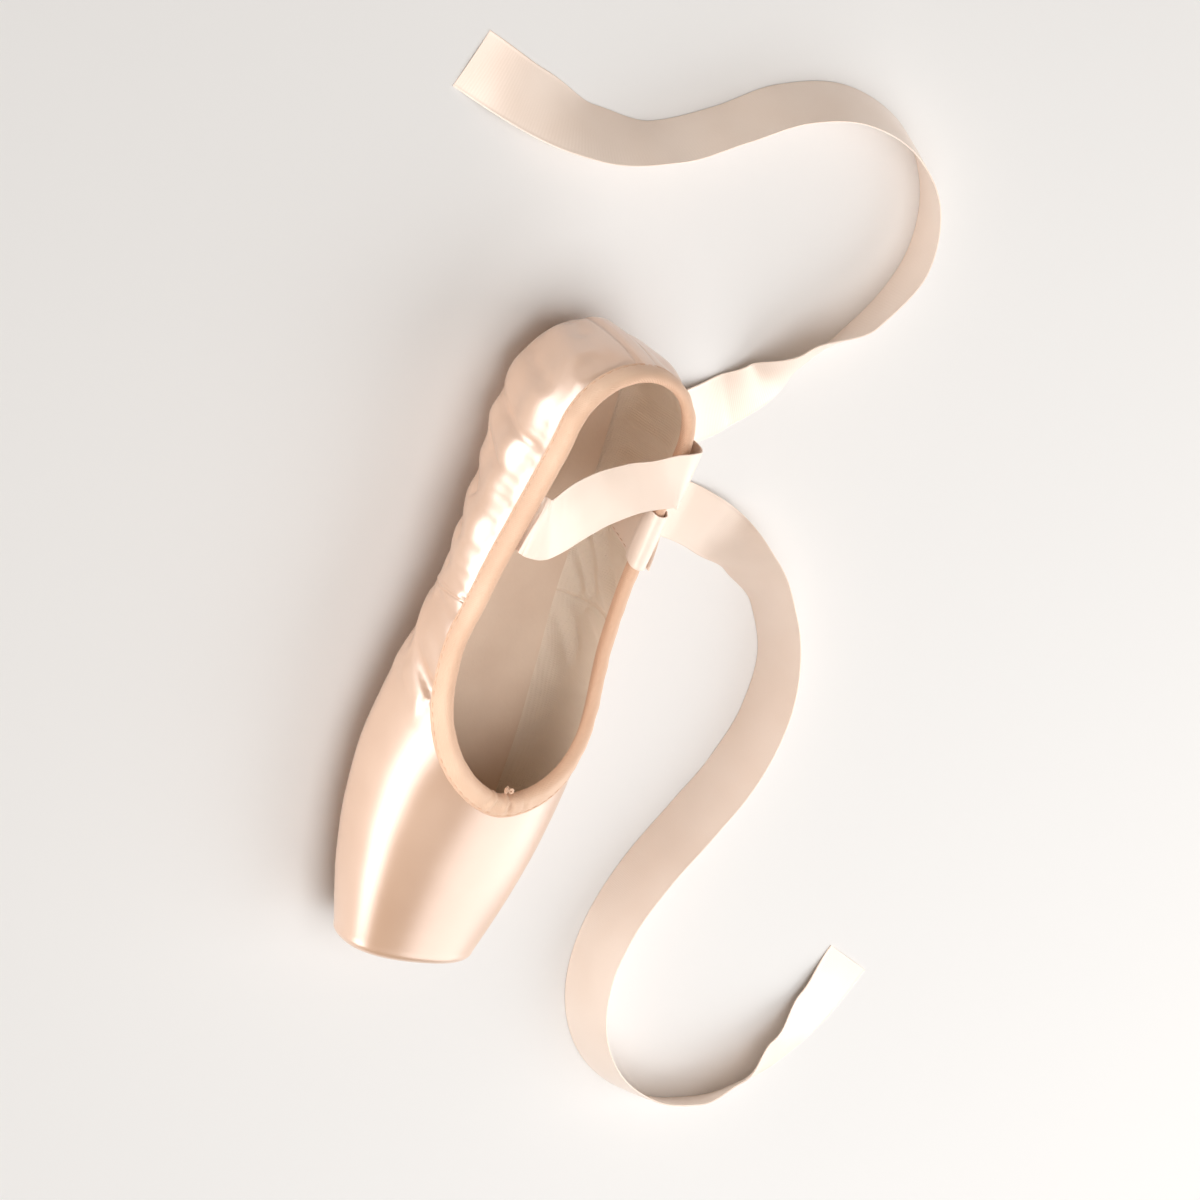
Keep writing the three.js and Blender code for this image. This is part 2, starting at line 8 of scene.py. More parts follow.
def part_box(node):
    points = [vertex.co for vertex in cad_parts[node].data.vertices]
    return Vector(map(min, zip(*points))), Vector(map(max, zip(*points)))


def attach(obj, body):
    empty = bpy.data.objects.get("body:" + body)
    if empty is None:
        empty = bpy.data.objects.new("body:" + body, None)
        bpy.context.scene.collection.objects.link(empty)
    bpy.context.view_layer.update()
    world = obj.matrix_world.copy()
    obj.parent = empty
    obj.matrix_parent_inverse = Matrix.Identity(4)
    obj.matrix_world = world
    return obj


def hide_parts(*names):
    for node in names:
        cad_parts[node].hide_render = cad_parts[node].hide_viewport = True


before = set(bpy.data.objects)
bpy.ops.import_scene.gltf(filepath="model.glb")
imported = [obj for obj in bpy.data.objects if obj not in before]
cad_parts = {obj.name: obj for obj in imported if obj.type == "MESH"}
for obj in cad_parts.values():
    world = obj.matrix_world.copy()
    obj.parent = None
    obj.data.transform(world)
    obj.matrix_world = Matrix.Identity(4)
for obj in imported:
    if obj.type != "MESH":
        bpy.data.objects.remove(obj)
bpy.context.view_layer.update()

# The studio
# A pale floor under a big softbox overhead and one beyond the far side. A low strip along each flank lights
# the shoe alone and draws the white bands on its satin. The camera looks down on the toe and the near side.
bpy.context.scene.view_settings.view_transform = "Standard"
view_azimuth = math.radians(-26.0)
view_elevation = math.radians(50.1)
view_roll = math.radians(-230.5)
view_distance = 1.8
picture_pixels = 1200
pixels_per_mm = 2.85
view_width = picture_pixels / pixels_per_mm * 0.001
view_middle = Vector((-0.011, 0.050, 0.0))

bpy.ops.object.select_all(action="DESELECT")
ahead = Vector((
    -math.sin(view_azimuth) * math.cos(view_elevation),
    math.cos(view_azimuth) * math.cos(view_elevation),
    -math.sin(view_elevation),
))
level = ahead.cross(Vector((0, 0, 1))).normalized()
upright = level.cross(ahead)
picture_right = math.cos(view_roll) * level + math.sin(view_roll) * upright
picture_up = math.cos(view_roll) * upright - math.sin(view_roll) * level
bpy.ops.object.camera_add()
camera = bpy.context.active_object
camera.matrix_world = (
    Matrix.Translation(view_middle - ahead * view_distance)
    @ Matrix((picture_right, picture_up, -ahead)).transposed().to_4x4()
)
camera.data.lens = camera.data.sensor_width * view_distance / view_width
bpy.context.scene.camera = camera


def finish(name, roughness=0.5):
    """A new material, with its nodes, its links and its shader"""
    material = bpy.data.materials.new(name)
    material.use_nodes = True
    nodes = material.node_tree.nodes
    shader = nodes["Principled BSDF"]
    shader.inputs["Roughness"].default_value = roughness
    return material, nodes, material.node_tree.links, shader


bpy.ops.mesh.primitive_plane_add(size=12)
floor = bpy.context.active_object
floor.name = "floor"
floor_paint, _, _, floor_shader = finish("floor_paint", 0.9)
floor_shader.inputs["Base Color"].default_value = (0.92, 0.915, 0.91, 1)
floor.data.materials.append(floor_paint)

sky = bpy.data.worlds.new("studio")
bpy.context.scene.world = sky
sky.use_nodes = True
sky_light = sky.node_tree.nodes["Background"]
sky_place = sky.node_tree.nodes.new("ShaderNodeTexCoord")
sky_height = sky.node_tree.nodes.new("ShaderNodeSeparateXYZ")
sky_tones = sky.node_tree.nodes.new("ShaderNodeValToRGB")
sky_tones.color_ramp.elements[0].position = 0.80
sky_tones.color_ramp.elements[0].color = (0.30, 0.25, 0.20, 1)
sky_tones.color_ramp.elements[1].position = 0.97
sky_tones.color_ramp.elements[1].color = (1.0, 0.99, 0.97, 1)
sky.node_tree.links.new(sky_place.outputs["Generated"], sky_height.inputs["Vector"])
sky.node_tree.links.new(sky_height.outputs["Z"], sky_tones.inputs["Fac"])
sky.node_tree.links.new(sky_tones.outputs["Color"], sky_light.inputs["Color"])
sky_light.inputs["Strength"].default_value = 0.65


def softbox(name, place, aim, width, height, power, lights_floor=True):
    """A softbox at a place, turned to its aim, which may pass over the floor"""
    bpy.ops.object.light_add(type="AREA", location=place)
    lamp = bpy.context.active_object
    lamp.name = name
    lamp.rotation_euler = (Vector(aim) - Vector(place)).to_track_quat("-Z", "Y").to_euler()
    lamp.data.shape = "RECTANGLE"
    lamp.data.size = width
    lamp.data.size_y = height
    lamp.data.energy = power
    lamp.visible_camera = False
    if not lights_floor:
        lit = bpy.data.collections.new(name + "_lights")
        lit.objects.link(floor)
        lit.collection_objects[0].light_linking.link_state = "EXCLUDE"
        lamp.light_linking.receiver_collection = lit


softbox("overhead", (0.05, -0.2, 1.35), (0, 0, 0), 1.2, 1.0, 8.3)
softbox("far_side", (0.40, 0.95, 0.72), (0, 0, 0), 1.5, 1.2, 10.5)
softbox("near_side_low", (0.05, -0.38, 0.13), (0, -0.04, 0.01), 0.9, 0.22, 2.3, lights_floor=False)
softbox("far_side_low", (-0.05, 0.55, 0.15), (0, 0.04, 0.01), 0.9, 0.22, 1.5, lights_floor=False)

# The upper
# Satin over canvas, pulled down over a straight last and turned in under it: a stiff box with a flat
# platform, and two quarters that pucker where the satin is slack. Sizes are millimetres on the last, with x
# from the back of the heel to the platform, and angles above the widest line of the section.
mm = 0.001
shoe_length = 234
heel_centre = 30
platform_round = 4
throat = 163
throat_start = 108
throat_power = 1.65
sole_edges = (9, 212)
sole_toe_centre = 190
turned_in = 5


def table(columns, *rows):
    """Rows of values under named columns"""
    return [dict(zip(columns.split(), row)) for row in rows]


last_rows = table(
    "x half low wide high low_power high_power wall",
    (30, 28, 2.5, 21, 84, 2.7, 2.0, 1.4),
    (45, 28.5, 2.8, 21.5, 82.5, 2.6, 2.0, 1.4),
    (65, 29.2, 4.6, 22, 79, 2.4, 2.0, 1.4),
    (90, 30.5, 6.4, 22, 73.5, 2.3, 2.0, 1.4),
    (118, 33.8, 5.4, 21.5, 66, 2.4, 2.05, 1.6),
    (142, 37.4, 3.2, 20.5, 58.8, 2.6, 2.1, 2.2),
    (163, 39, 2.5, 20, 53, 2.7, 2.15, 2.8),
    (183, 37.6, 2.5, 20, 48.6, 2.7, 2.25, 3),
    (203, 34, 3.2, 20.5, 44.6, 2.7, 2.35, 3),
    (220, 29.6, 4.8, 21.2, 41.2, 2.6, 2.4, 3.4),
    (234, 25.4, 6.6, 22, 38.4, 2.5, 2.4, 4),
)
collar_rows = table(
    "x angle",
    (0, 34), (30, 32), (65, 27), (90, 24.5), (throat_start, 24.5),
)
sole_rows = table(
    "x half",
    (20, 14.2), (45, 14.6), (85, 11.6), (120, 14.5), (160, 21), (178, 21.8), (200, 20),
)


def along(rows, name, x):
    """A column of a table at x: a smooth curve through the rows that never overshoots them"""
    places = np.array([row["x"] for row in rows], float)
    values = np.array([row[name] for row in rows], float)
    rise = np.diff(values) / np.diff(places)
    product = rise[:-1] * rise[1:]
    both = np.where(product > 0, rise[:-1] + rise[1:], 1)
    slope = np.concatenate([[0], np.where(product > 0, 2 * product / both, 0), rise[-1:]])
    x = np.clip(x, places[0], places[-1])
    i = np.clip(np.searchsorted(places, x, side="right") - 1, 0, len(rows) - 2)
    span = places[i + 1] - places[i]
    t = (x - places[i]) / span
    return (
        values[i] * (1 + 2 * t) * (1 - t) ** 2
        + values[i + 1] * (3 - 2 * t) * t**2
        + slope[i] * span * t * (1 - t) ** 2
        - slope[i + 1] * span * (1 - t) * t**2
    )


def on_last(x, angle, hand, inset=0.0):
    """Points of the last at x and an angle, on the left (hand 1) or the right (-1), drawn in by an inset"""
    turn = np.radians(np.clip(heel_centre - x, 0, None) / heel_centre * 90)
    rim = np.radians(np.clip(x - shoe_length + platform_round, 0, None) / platform_round * 90)
    base = np.clip(x, heel_centre, shoe_length - platform_round)
    drawn = inset + platform_round * (1 - np.cos(rim))
    half = along(last_rows, "half", base) - drawn
    wide = along(last_rows, "wide", base)
    over = angle >= 0
    reach_up = np.where(
        over,
        along(last_rows, "high", base) - wide - drawn,
        along(last_rows, "low", base) - wide + drawn,
    )
    power = np.where(over, along(last_rows, "high_power", base), along(last_rows, "low_power", base))
    side = np.clip(np.cos(np.radians(angle)), 0, None)
    up = np.abs(np.sin(np.radians(angle)))
    scale = (side**power + up**power) ** (-1 / power)
    reach = side * scale / np.hypot(np.cos(turn) / half, np.sin(turn) / (heel_centre - drawn))
    return np.stack(
        np.broadcast_arrays(
            base + platform_round * np.sin(rim) - reach * np.sin(turn),
            hand * reach * np.cos(turn),
            wide + reach_up * up * scale,
        ),
        -1,
    )


def collar_angle(x):
    """The angle of the collar's edge, and 90 ahead of the throat"""
    side = along(collar_rows, "angle", x)
    q = np.clip((x - throat_start) / (throat - throat_start), 0, 1)
    closing = side + (90 - side) * (1 - (1 - q**throat_power) ** (1 / throat_power))
    return np.where(x >= throat, 90, closing)


def rounded_half(x, rows, edges, toe_centre, margin):
    """Half a flat piece's width at x: a table between two half-elliptical ends, drawn in by a margin"""
    heel_share = np.clip((heel_centre - x) / (heel_centre - edges[0] - margin), 0, 1)
    toe_share = np.clip((x - toe_centre) / (edges[1] - margin - toe_centre), 0, 1)
    straight = along(rows, "half", x) - margin
    return straight * np.sqrt(1 - heel_share**2) * np.sqrt(1 - toe_share**2)


def sole_half(x, margin=0.0):
    """Half the sole's width at x, drawn in by a margin"""
    return rounded_half(x, sole_rows, sole_edges, sole_toe_centre, margin)


def opening_angle(x):
    """The angle of the edge of the satin turned in under the sole, and -90 ahead of it"""
    turn = np.radians(np.clip(heel_centre - x, 0, None) / heel_centre * 90)
    base = np.clip(x, heel_centre, shoe_length - platform_round)
    side = np.maximum(sole_half(base, turned_in), 1e-6)
    back = heel_centre - sole_edges[0] - turned_in
    half = along(last_rows, "half", base)
    reach = np.hypot(np.cos(turn) / half, np.sin(turn) / heel_centre)
    reach = reach / np.hypot(np.cos(turn) / side, np.sin(turn) / back)
    power = along(last_rows, "low_power", base)
    share = np.clip(reach**power, 1e-12, 1)
    angle = -np.degrees(np.arctan(((1 - share) / share) ** (1 / power)))
    return np.where(x >= sole_edges[1] - turned_in, -90, angle)


def in_frame(places):
    """Places in millimetres on the last, as metres in the part's frame"""
    return (places - np.array((shoe_length / 2, 0, 0))) * mm


def wrapped_grid(name, places):
    """A flat grid with each of its corners taken to a place on the last: columns by rows of x, y, z"""
    columns, rows = places.shape[:2]
    bpy.ops.object.select_all(action="DESELECT")
    bpy.ops.mesh.primitive_grid_add(x_subdivisions=columns - 1, y_subdivisions=rows - 1, size=1)
    piece = bpy.context.active_object
    piece.name = piece.data.name = name
    flat = np.empty(columns * rows * 3)
    piece.data.vertices.foreach_get("co", flat)
    flat = flat.reshape(-1, 3)
    column = np.rint((flat[:, 0] + 0.5) * (columns - 1)).astype(int)
    row = np.rint((flat[:, 1] + 0.5) * (rows - 1)).astype(int)
    piece.data.vertices.foreach_set("co", in_frame(places)[column, row].ravel())
    piece.data.update()
    return piece


def weld(piece, gap=0.01, up=None):
    """Joins corners that lie together, and turns the faces outwards, or those of an open sheet up or down"""
    bpy.ops.object.select_all(action="DESELECT")
    bpy.context.view_layer.objects.active = piece
    piece.select_set(True)
    bpy.ops.object.mode_set(mode="EDIT")
    bpy.ops.mesh.select_all(action="SELECT")
    bpy.ops.mesh.remove_doubles(threshold=gap * mm)
    bpy.ops.mesh.normals_make_consistent(inside=False)
    bpy.ops.object.mode_set(mode="OBJECT")
    if up is not None and (sum(face.normal.z for face in piece.data.polygons) > 0) != up:
        bpy.ops.object.mode_set(mode="EDIT")
        bpy.ops.mesh.flip_normals()
        bpy.ops.object.mode_set(mode="OBJECT")


def corners(piece):
    """The places and outward directions of a piece's corners, in millimetres on the last"""
    count = len(piece.data.vertices)
    places, normals = np.empty(count * 3), np.empty(count * 3)
    piece.data.vertices.foreach_get("co", places)
    piece.data.vertices.foreach_get("normal", normals)
    places = places.reshape(-1, 3) / mm + np.array((shoe_length / 2, 0, 0))
    return places, normals.reshape(-1, 3)


side_seam = 100.0
heel_stations = heel_centre * np.linspace(0, 1, 36, endpoint=False) ** 1.5
quarter_stations = np.concatenate([
    np.linspace(heel_centre, side_seam - 2.6, 88),
    np.linspace(side_seam - 2.1, side_seam + 2.1, 17),
    np.linspace(side_seam + 2.6, throat_start, 5, endpoint=False),
])
throat_turn = np.linspace(0, math.pi / 2, 44)
throat_stations = throat_start + (throat - throat_start) * np.sin(throat_turn) ** (2 / throat_power)
box_stations = throat + (shoe_length - platform_round - throat) * np.linspace(0, 1, 58)[1:] ** 1.25
rim_stations = shoe_length - platform_round + platform_round * np.linspace(0, 1, 9)[1:]
stations = np.concatenate([heel_stations, quarter_stations, throat_stations, box_stations, rim_stations])
upper_rows = 94

half_turn = np.linspace(0, 1, upper_rows)
rise = opening_angle(stations)[:, None] * (1 - half_turn) + collar_angle(stations)[:, None] * half_turn
left_skin = on_last(stations[:, None], rise, 1)
right_skin = on_last(stations[:, None], rise, -1)
upper = wrapped_grid("upper_satin", np.concatenate([left_skin[::-1], right_skin[1:]]))
weld(upper)

# The platform closes the toe's ring in five steps to its middle, each a little further out
toe_edge = (shoe_length / 2) * mm
toe_reach = 0.0005
platform_crown = 0.0001
bpy.ops.object.mode_set(mode="EDIT")
bpy.ops.mesh.select_mode(type="EDGE")
bpy.ops.mesh.select_all(action="DESELECT")
bpy.ops.mesh.select_non_manifold()
bpy.ops.object.mode_set(mode="OBJECT")
for edge in upper.data.edges:
    if edge.select:
        ends = [upper.data.vertices[k].co.x for k in edge.vertices]
        edge.select = min(ends) > toe_edge - toe_reach
bpy.ops.object.mode_set(mode="EDIT")
platform_middle = (toe_edge, 0, 0.0222)
for ring_share in (0.92, 0.8, 0.72, 0.6, 0.4):
    bpy.ops.mesh.extrude_edges_move()
    bpy.ops.transform.resize(value=(1, ring_share, ring_share), center_override=platform_middle)
    bpy.ops.transform.translate(value=(platform_crown, 0, 0))
bpy.ops.mesh.merge(type="CENTER")
bpy.ops.mesh.select_mode(type="VERT")
bpy.ops.mesh.select_all(action="SELECT")
bpy.ops.mesh.normals_make_consistent(inside=False)
bpy.ops.object.mode_set(mode="OBJECT")

# The wall: canvas and paste thicken it from the quarters to the box, with satin outside and canvas inside
satin, satin_nodes, satin_links, satin_shader = finish("peach_satin")
canvas, canvas_nodes, canvas_links, canvas_shader = finish("canvas_lining", 0.9)
upper.data.materials.append(satin)
upper.data.materials.append(canvas)
skin_places, skin_out = corners(upper)
skin_count = len(skin_places)
wall_weights = upper.vertex_groups.new(name="wall")
thickest_wall = 4.6
for k, wall in enumerate(along(last_rows, "wall", skin_places[:, 0])):
    wall_weights.add([k], float(wall) / thickest_wall, "REPLACE")
shell = upper.modifiers.new("wall", "SOLIDIFY")
shell.thickness = thickest_wall * mm
shell.offset = -1
shell.vertex_group = "wall"
shell.material_offset = 1
shell.material_offset_rim = 1
bpy.ops.object.modifier_apply(modifier="wall")

# Folds and puckers, as strokes on the skin: each runs through places (x, angle) on one side, and raises the
# satin (or, negative, presses it in) most on its line and less to either side
raise_by = np.zeros(skin_count)
stroke_steps = 60


def smooth(value):
    """A soft step from 0 to 1"""
    value = np.clip(value, 0, 1)
    return value * value * (3 - 2 * value)


def stroke(hand, places, height, width, back_width=None, head=0.2, tail=0.3):
    """Raises the satin along a line; the widths are those ahead of the line and, if it differs, behind it"""
    t = np.linspace(0, 1, len(places))
    fine = np.linspace(0, 1, stroke_steps)
    degree = min(len(places) - 1, 3)
    x = np.polyval(np.polyfit(t, [p[0] for p in places], degree), fine)
    angle = np.polyval(np.polyfit(t, [p[1] for p in places], degree), fine)
    line = on_last(np.clip(x, 0, shoe_length), angle, hand)
    widest = max(width, back_width or 0) * 3
    near = np.all((skin_places > line.min(0) - widest) & (skin_places < line.max(0) + widest), axis=1)
    index = np.flatnonzero(near)
    points = skin_places[index]
    best = np.full(len(index), 1e9)
    share = np.zeros(len(index))
    ahead_of = np.ones(len(index))
    for k in range(len(line) - 1):
        step = line[k + 1] - line[k]
        s = np.clip((points - line[k]) @ step / (step @ step), 0, 1)
        away = points - line[k] - s[:, None] * step
        gap = np.linalg.norm(away, axis=1)
        closer = gap < best
        best[closer] = gap[closer]
        share[closer] = (k + s[closer]) / (len(line) - 1)
        ahead_of[closer] = away[closer, 0]
    spread = np.where(ahead_of >= 0, width, back_width or width)
    taper = smooth(share / head) * smooth((1 - share) / tail)
    raise_by[index] += height * taper * np.exp(-((best / spread) ** 2))


near_side, far_side = -1, 1
# Upright folds of each quarter between the sole and the binding, from the heel forward: places of the foot
# and the top of each, the angles between which it shows, how far it stands out and its width
fold_strength = 1.25
near_folds = (
    (7, 9, -34, 8, -0.8, 3.0),
    (12, 15, -30, 20, 0.8, 4.5),
    (18, 24, -30, 18, -0.8, 2.2),
    (24, 29, -44, 22, 0.8, 6.0),
    (30, 41, -40, 24, -0.9, 1.8),
    (37, 47, -42, 16, 1.6, 6.0),
    (43, 53, -26, 12, -0.7, 1.6),
    (52, 60, -44, 14, 0.7, 4.5),
    (58, 67, -36, -2, -0.9, 2.2),
    (66, 76, -44, 14, 0.9, 5.0),
    (73, 82, -42, 4, -0.8, 1.8),
    (80, 89, -38, 18, 0.6, 4.0),
    (86, 93, -46, 2, -0.7, 1.6),
)
far_folds = (
    (7, 8, -30, 26, -0.7, 3.0),
    (13, 13, -34, 30, 0.9, 3.4),
    (21, 20, -40, 22, -1.0, 2.6),
    (28, 27, -38, 28, 1.2, 3.0),
    (36, 36, -34, 22, -0.9, 2.4),
    (43, 46, -30, 26, 1.0, 3.6),
    (60, 96, -44, 18, 1.4, 3.2),
    (66, 99, -46, 12, -1.2, 2.4),
    (74, 98, -44, 2, 0.9, 2.4),
    (80, 99, -48, -8, -0.9, 2.0),
    (88, 99, -46, -20, 0.6, 1.8),
)
for hand, folds in ((near_side, near_folds), (far_side, far_folds)):
    for foot, top, low, high, height, width in folds:
        middle = ((foot + top) / 2 - 1.5, (low + high) / 2)
        stroke(hand, [(foot, low), middle, (top, high)], height * fold_strength, width, head=0.3, tail=0.12)

# The slack satin puffs out under the binding, which draws it in
for hand in (near_side, far_side):
    stroke(hand, [(0, 17), (16, 15), (36, 12), (65, 8), (90, 6), (118, 7)], 3.0, 8, head=0.42)
    drawn_in = [(2, 26.5), (20, 26), (36, 24.5), (65, 20), (90, 17.5), (118, 18)]
    stroke(hand, drawn_in, -0.6, 2.0, head=0.02, tail=0.1)

# The pleat that runs forward from the foot of the back seam, and the creases ahead of the side seams
for hand in (near_side, far_side):
    stroke(hand, [(2, -38), (16, -44), (34, -46)], 1.0, 1.8, head=0.05)
    stroke(hand, [(3, -46), (18, -52), (32, -54)], -0.9, 1.6, head=0.05)
    stroke(hand, [(103, -40), (112, -16), (124, 4)], 0.9, 2.6)
    stroke(hand, [(107, -46), (117, -26), (128, -8)], -1.0, 2.4)
    stroke(hand, [(116, -50), (126, -32), (136, -18)], 0.7, 3.0)
    stroke(hand, [(101.5, -6), (106, 8), (110, 21)], -0.8, 2.2, tail=0.1)
stroke(near_side, [(134, 27), (130, 17), (124, 4), (118, -6)], -2.1, 1.7, back_width=2.8, head=0.04, tail=0.7)
stroke(near_side, [(138, 24), (134, 10), (128, -4)], 1.1, 3.4, head=0.08)
stroke(near_side, [(126, 24), (120, 10), (113, -4)], 0.8, 3.0, head=0.06)
stroke(near_side, [(99.5, 18), (98, 12)], -1.4, 1.8, head=0.02, tail=0.7)
stroke(far_side, [(122, 26), (128, 12), (131, -6)], -1.0, 2.2, head=0.1)

# Short tucks where the satin is drawn in along the binding and under the sole's edge
tucks = np.random.default_rng(7)
for hand in (near_side, far_side):
    for place in np.arange(8, 150, 5.5):
        x = place + tucks.uniform(-1.5, 1.5)
        edge = float(collar_angle(x)) - 9
        reach = tucks.uniform(9, 24)
        lean = tucks.uniform(-5.0, 1.0)
        size = tucks.uniform(0.15, 0.35) * tucks.choice([-1, 1])
        width = tucks.uniform(1.0, 1.7)
        stroke(hand, [(x, edge), (x + lean, edge - reach)], size, width, head=0.05, tail=0.8)
    for place in np.arange(8, 204, 4.2):
        x = place + tucks.uniform(-1.2, 1.2)
        edge = float(opening_angle(np.array(x))) + 1
        reach = tucks.uniform(9, 20)
        size = tucks.uniform(0.2, 0.6) * tucks.choice([-1, 1])
        width = tucks.uniform(0.8, 1.5)
        lean = tucks.uniform(-1, 2)
        stroke(hand, [(x, edge), (x + lean, edge + reach)], size, width, head=0.02, tail=0.85)

# Under the toe the satin is laid in flat pleats, which fan out from the end of the sole to the platform


def under_place(x, y):
    """The place (x, angle) on the last's underside that is y from the middle"""
    base = min(x, shoe_length - platform_round)
    power = float(along(last_rows, "low_power", base))
    share = min(y / float(along(last_rows, "half", base)), 0.995) ** power
    return x, -math.degrees(math.atan(((1 - share) / share) ** (1 / power)))


toe_pleats = (
    (212, 4.0, 233.5, 7.0, 1.7),
    (211, 8.5, 233, 13.5, 1.7),
    (207, 12.5, 230, 19.0, 1.5),
    (202, 16.0, 223, 24.0, 1.2),
    (195, 19.0, 212, 28.5, 0.8),
)
for hand in (near_side, far_side):
    for foot, side, end_x, end_side, depth in toe_pleats:
        for beside, height, width, behind in ((0.0, -depth, 0.9, 1.8), (2.0, depth * 0.35, 1.6, 1.2)):
            feet = under_place(foot, side + beside * 0.7)
            middle = under_place((foot + end_x) / 2, (side + end_side) / 2 + 0.8 + beside)
            end = under_place(end_x, end_side + beside)
            stroke(hand, [feet, middle, end], height, width, back_width=behind, head=0.05, tail=0.3)

flat_under = np.clip((skin_places[:, 2] - 4.6) / 4.0, 0, 1)
under_toe = np.clip((skin_places[:, 0] - 200) / 8, 0, 1)
raise_by *= np.maximum(flat_under, under_toe)

# Seams: the folded seam down the back of the heel, and the one across each side
behind = np.clip((heel_centre - skin_places[:, 0]) / 8, 0, 1)
seam_across = np.abs(skin_places[:, 1])
fold = np.clip((3.4 - seam_across) / 0.5, 0, 1)
groove = np.exp(-(((seam_across - 3.9) / 0.45) ** 2)) * 0.5
groove += np.exp(-(((seam_across - 2.5) / 0.35) ** 2)) * 0.25
raise_by += behind * (fold * 0.75 - groove) * np.clip((skin_places[:, 2] - 9) / 4, 0, 1)
from_side_seam = skin_places[:, 0] - side_seam
beside_seam = np.exp(-((from_side_seam / 0.4) ** 2)) * -0.45
beside_seam += np.exp(-(((from_side_seam + 1.0) / 0.7) ** 2)) * 0.3
raise_by += beside_seam * (skin_places[:, 2] > 6)

skin = np.empty(len(upper.data.vertices) * 3)
upper.data.vertices.foreach_get("co", skin)
skin = skin.reshape(-1, 3)
moved = skin_out * raise_by[:, None] * mm
skin[:skin_count] += moved
soft = np.clip((150 - skin_places[:, 0]) / 30, 0, 1)[:, None]
skin[skin_count:] += moved * soft
upper.data.vertices.foreach_set("co", skin.ravel())
upper.data.update()
bpy.ops.object.shade_smooth()


def mottled(nodes, links, scale, detail, darker, lighter, lighter_from=0.7):
    """Soft patches between two tones: the piece's own place, the noise and the tones"""
    place = nodes.new("ShaderNodeTexCoord")
    cloud = nodes.new("ShaderNodeTexNoise")
    cloud.inputs["Scale"].default_value = scale
    cloud.inputs["Detail"].default_value = detail
    tones = nodes.new("ShaderNodeValToRGB")
    tones.color_ramp.elements[0].position = 0.3
    tones.color_ramp.elements[0].color = (*darker, 1)
    tones.color_ramp.elements[1].position = lighter_from
    tones.color_ramp.elements[1].color = (*lighter, 1)
    links.new(place.outputs["Object"], cloud.inputs["Vector"])
    links.new(cloud.outputs["Fac"], tones.inputs["Fac"])
    return place, cloud, tones


def relief(nodes, links, shader, height, strength, distance):
    """Bump on a shader from a height, with the depth of its full range in metres"""
    bump = nodes.new("ShaderNodeBump")
    bump.inputs["Strength"].default_value = strength
    bump.inputs["Distance"].default_value = distance
    links.new(height, bump.inputs["Height"])
    links.new(bump.outputs["Normal"], shader.inputs["Normal"])


for socket, value in (
    ("Metallic", 0.2),
    ("IOR", 1.7),
    ("Sheen Weight", 0.15),
    ("Coat Weight", 1.0),
    ("Coat Roughness", 0.34),
    ("Coat IOR", 3.0),
):
    satin_shader.inputs[socket].default_value = value
satin_place, satin_cloud, satin_tones = mottled(
    satin_nodes, satin_links, scale=28, detail=3, darker=(0.62, 0.36, 0.215), lighter=(0.70, 0.435, 0.28),
)
satin_gloss = satin_nodes.new("ShaderNodeMapRange")
satin_gloss.inputs["To Min"].default_value = 0.30
satin_gloss.inputs["To Max"].default_value = 0.40
satin_links.new(satin_tones.outputs["Color"], satin_shader.inputs["Base Color"])
satin_links.new(satin_cloud.outputs["Fac"], satin_gloss.inputs["Value"])
satin_links.new(satin_gloss.outputs["Result"], satin_shader.inputs["Roughness"])
satin_wrinkle = satin_nodes.new("ShaderNodeTexNoise")
satin_wrinkle.inputs["Scale"].default_value = 170
satin_wrinkle.inputs["Detail"].default_value = 4
satin_stretch = satin_nodes.new("ShaderNodeMapping")
satin_stretch.inputs["Scale"].default_value = (1.0, 0.35, 0.35)
satin_links.new(satin_place.outputs["Object"], satin_stretch.inputs["Vector"])
satin_links.new(satin_stretch.outputs["Vector"], satin_wrinkle.inputs["Vector"])
satin_height = satin_wrinkle.outputs["Fac"]
relief(satin_nodes, satin_links, satin_shader, satin_height, strength=0.35, distance=0.0004)

canvas_shader.inputs["Base Color"].default_value = (0.86, 0.74, 0.62, 1)
canvas_place = canvas_nodes.new("ShaderNodeTexCoord")
canvas_weave = canvas_nodes.new("ShaderNodeMath")
canvas_weave.operation = "MULTIPLY"
for k, direction in enumerate(("X", "Z")):
    threads = canvas_nodes.new("ShaderNodeTexWave")
    threads.bands_direction = direction
    threads.inputs["Scale"].default_value = 380
    threads.inputs["Distortion"].default_value = 0.6
    canvas_links.new(canvas_place.outputs["Object"], threads.inputs["Vector"])
    canvas_links.new(threads.outputs["Fac"], canvas_weave.inputs[k])
canvas_height = canvas_weave.outputs["Value"]
relief(canvas_nodes, canvas_links, canvas_shader, canvas_height, strength=0.4, distance=0.0003)
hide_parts("upper")
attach(upper, "root")

# The outsole
# One thin piece of sole leather, smaller than the last, stitched and glued over the turned-in satin. It has a
# light cut edge, a nail hole in two places, and crossing scored lines under the ball so that it grips.
sole_leather_thick = 2.2
sole_gap = 0.3
sole_wear = 0.25


def underside(x, y, inset=0.0):
    """The height of the last's underside over a point of its plan"""
    base = np.maximum(x, heel_centre)
    half = along(last_rows, "half", base) - inset
    wide = along(last_rows, "wide", base)
    power = along(last_rows, "low_power", base)
    out = np.clip(np.hypot(y / half, np.maximum(heel_centre - x, 0) / (heel_centre - inset)), 0, 1)
    return wide - (wide - along(last_rows, "low", base) - inset) * (1 - out**power) ** (1 / power)


def plan(edges, half, columns, rows):
    """The x and y of a flat piece's grid, closer together toward its outline"""
    turn = np.linspace(0, math.pi, columns)
    x = edges[0] + (edges[1] - edges[0]) * (1 - np.cos(turn)) / 2
    y = half(x)[:, None] * np.sin(np.linspace(-math.pi / 2, math.pi / 2, rows))
    return np.broadcast_to(x[:, None], y.shape), y


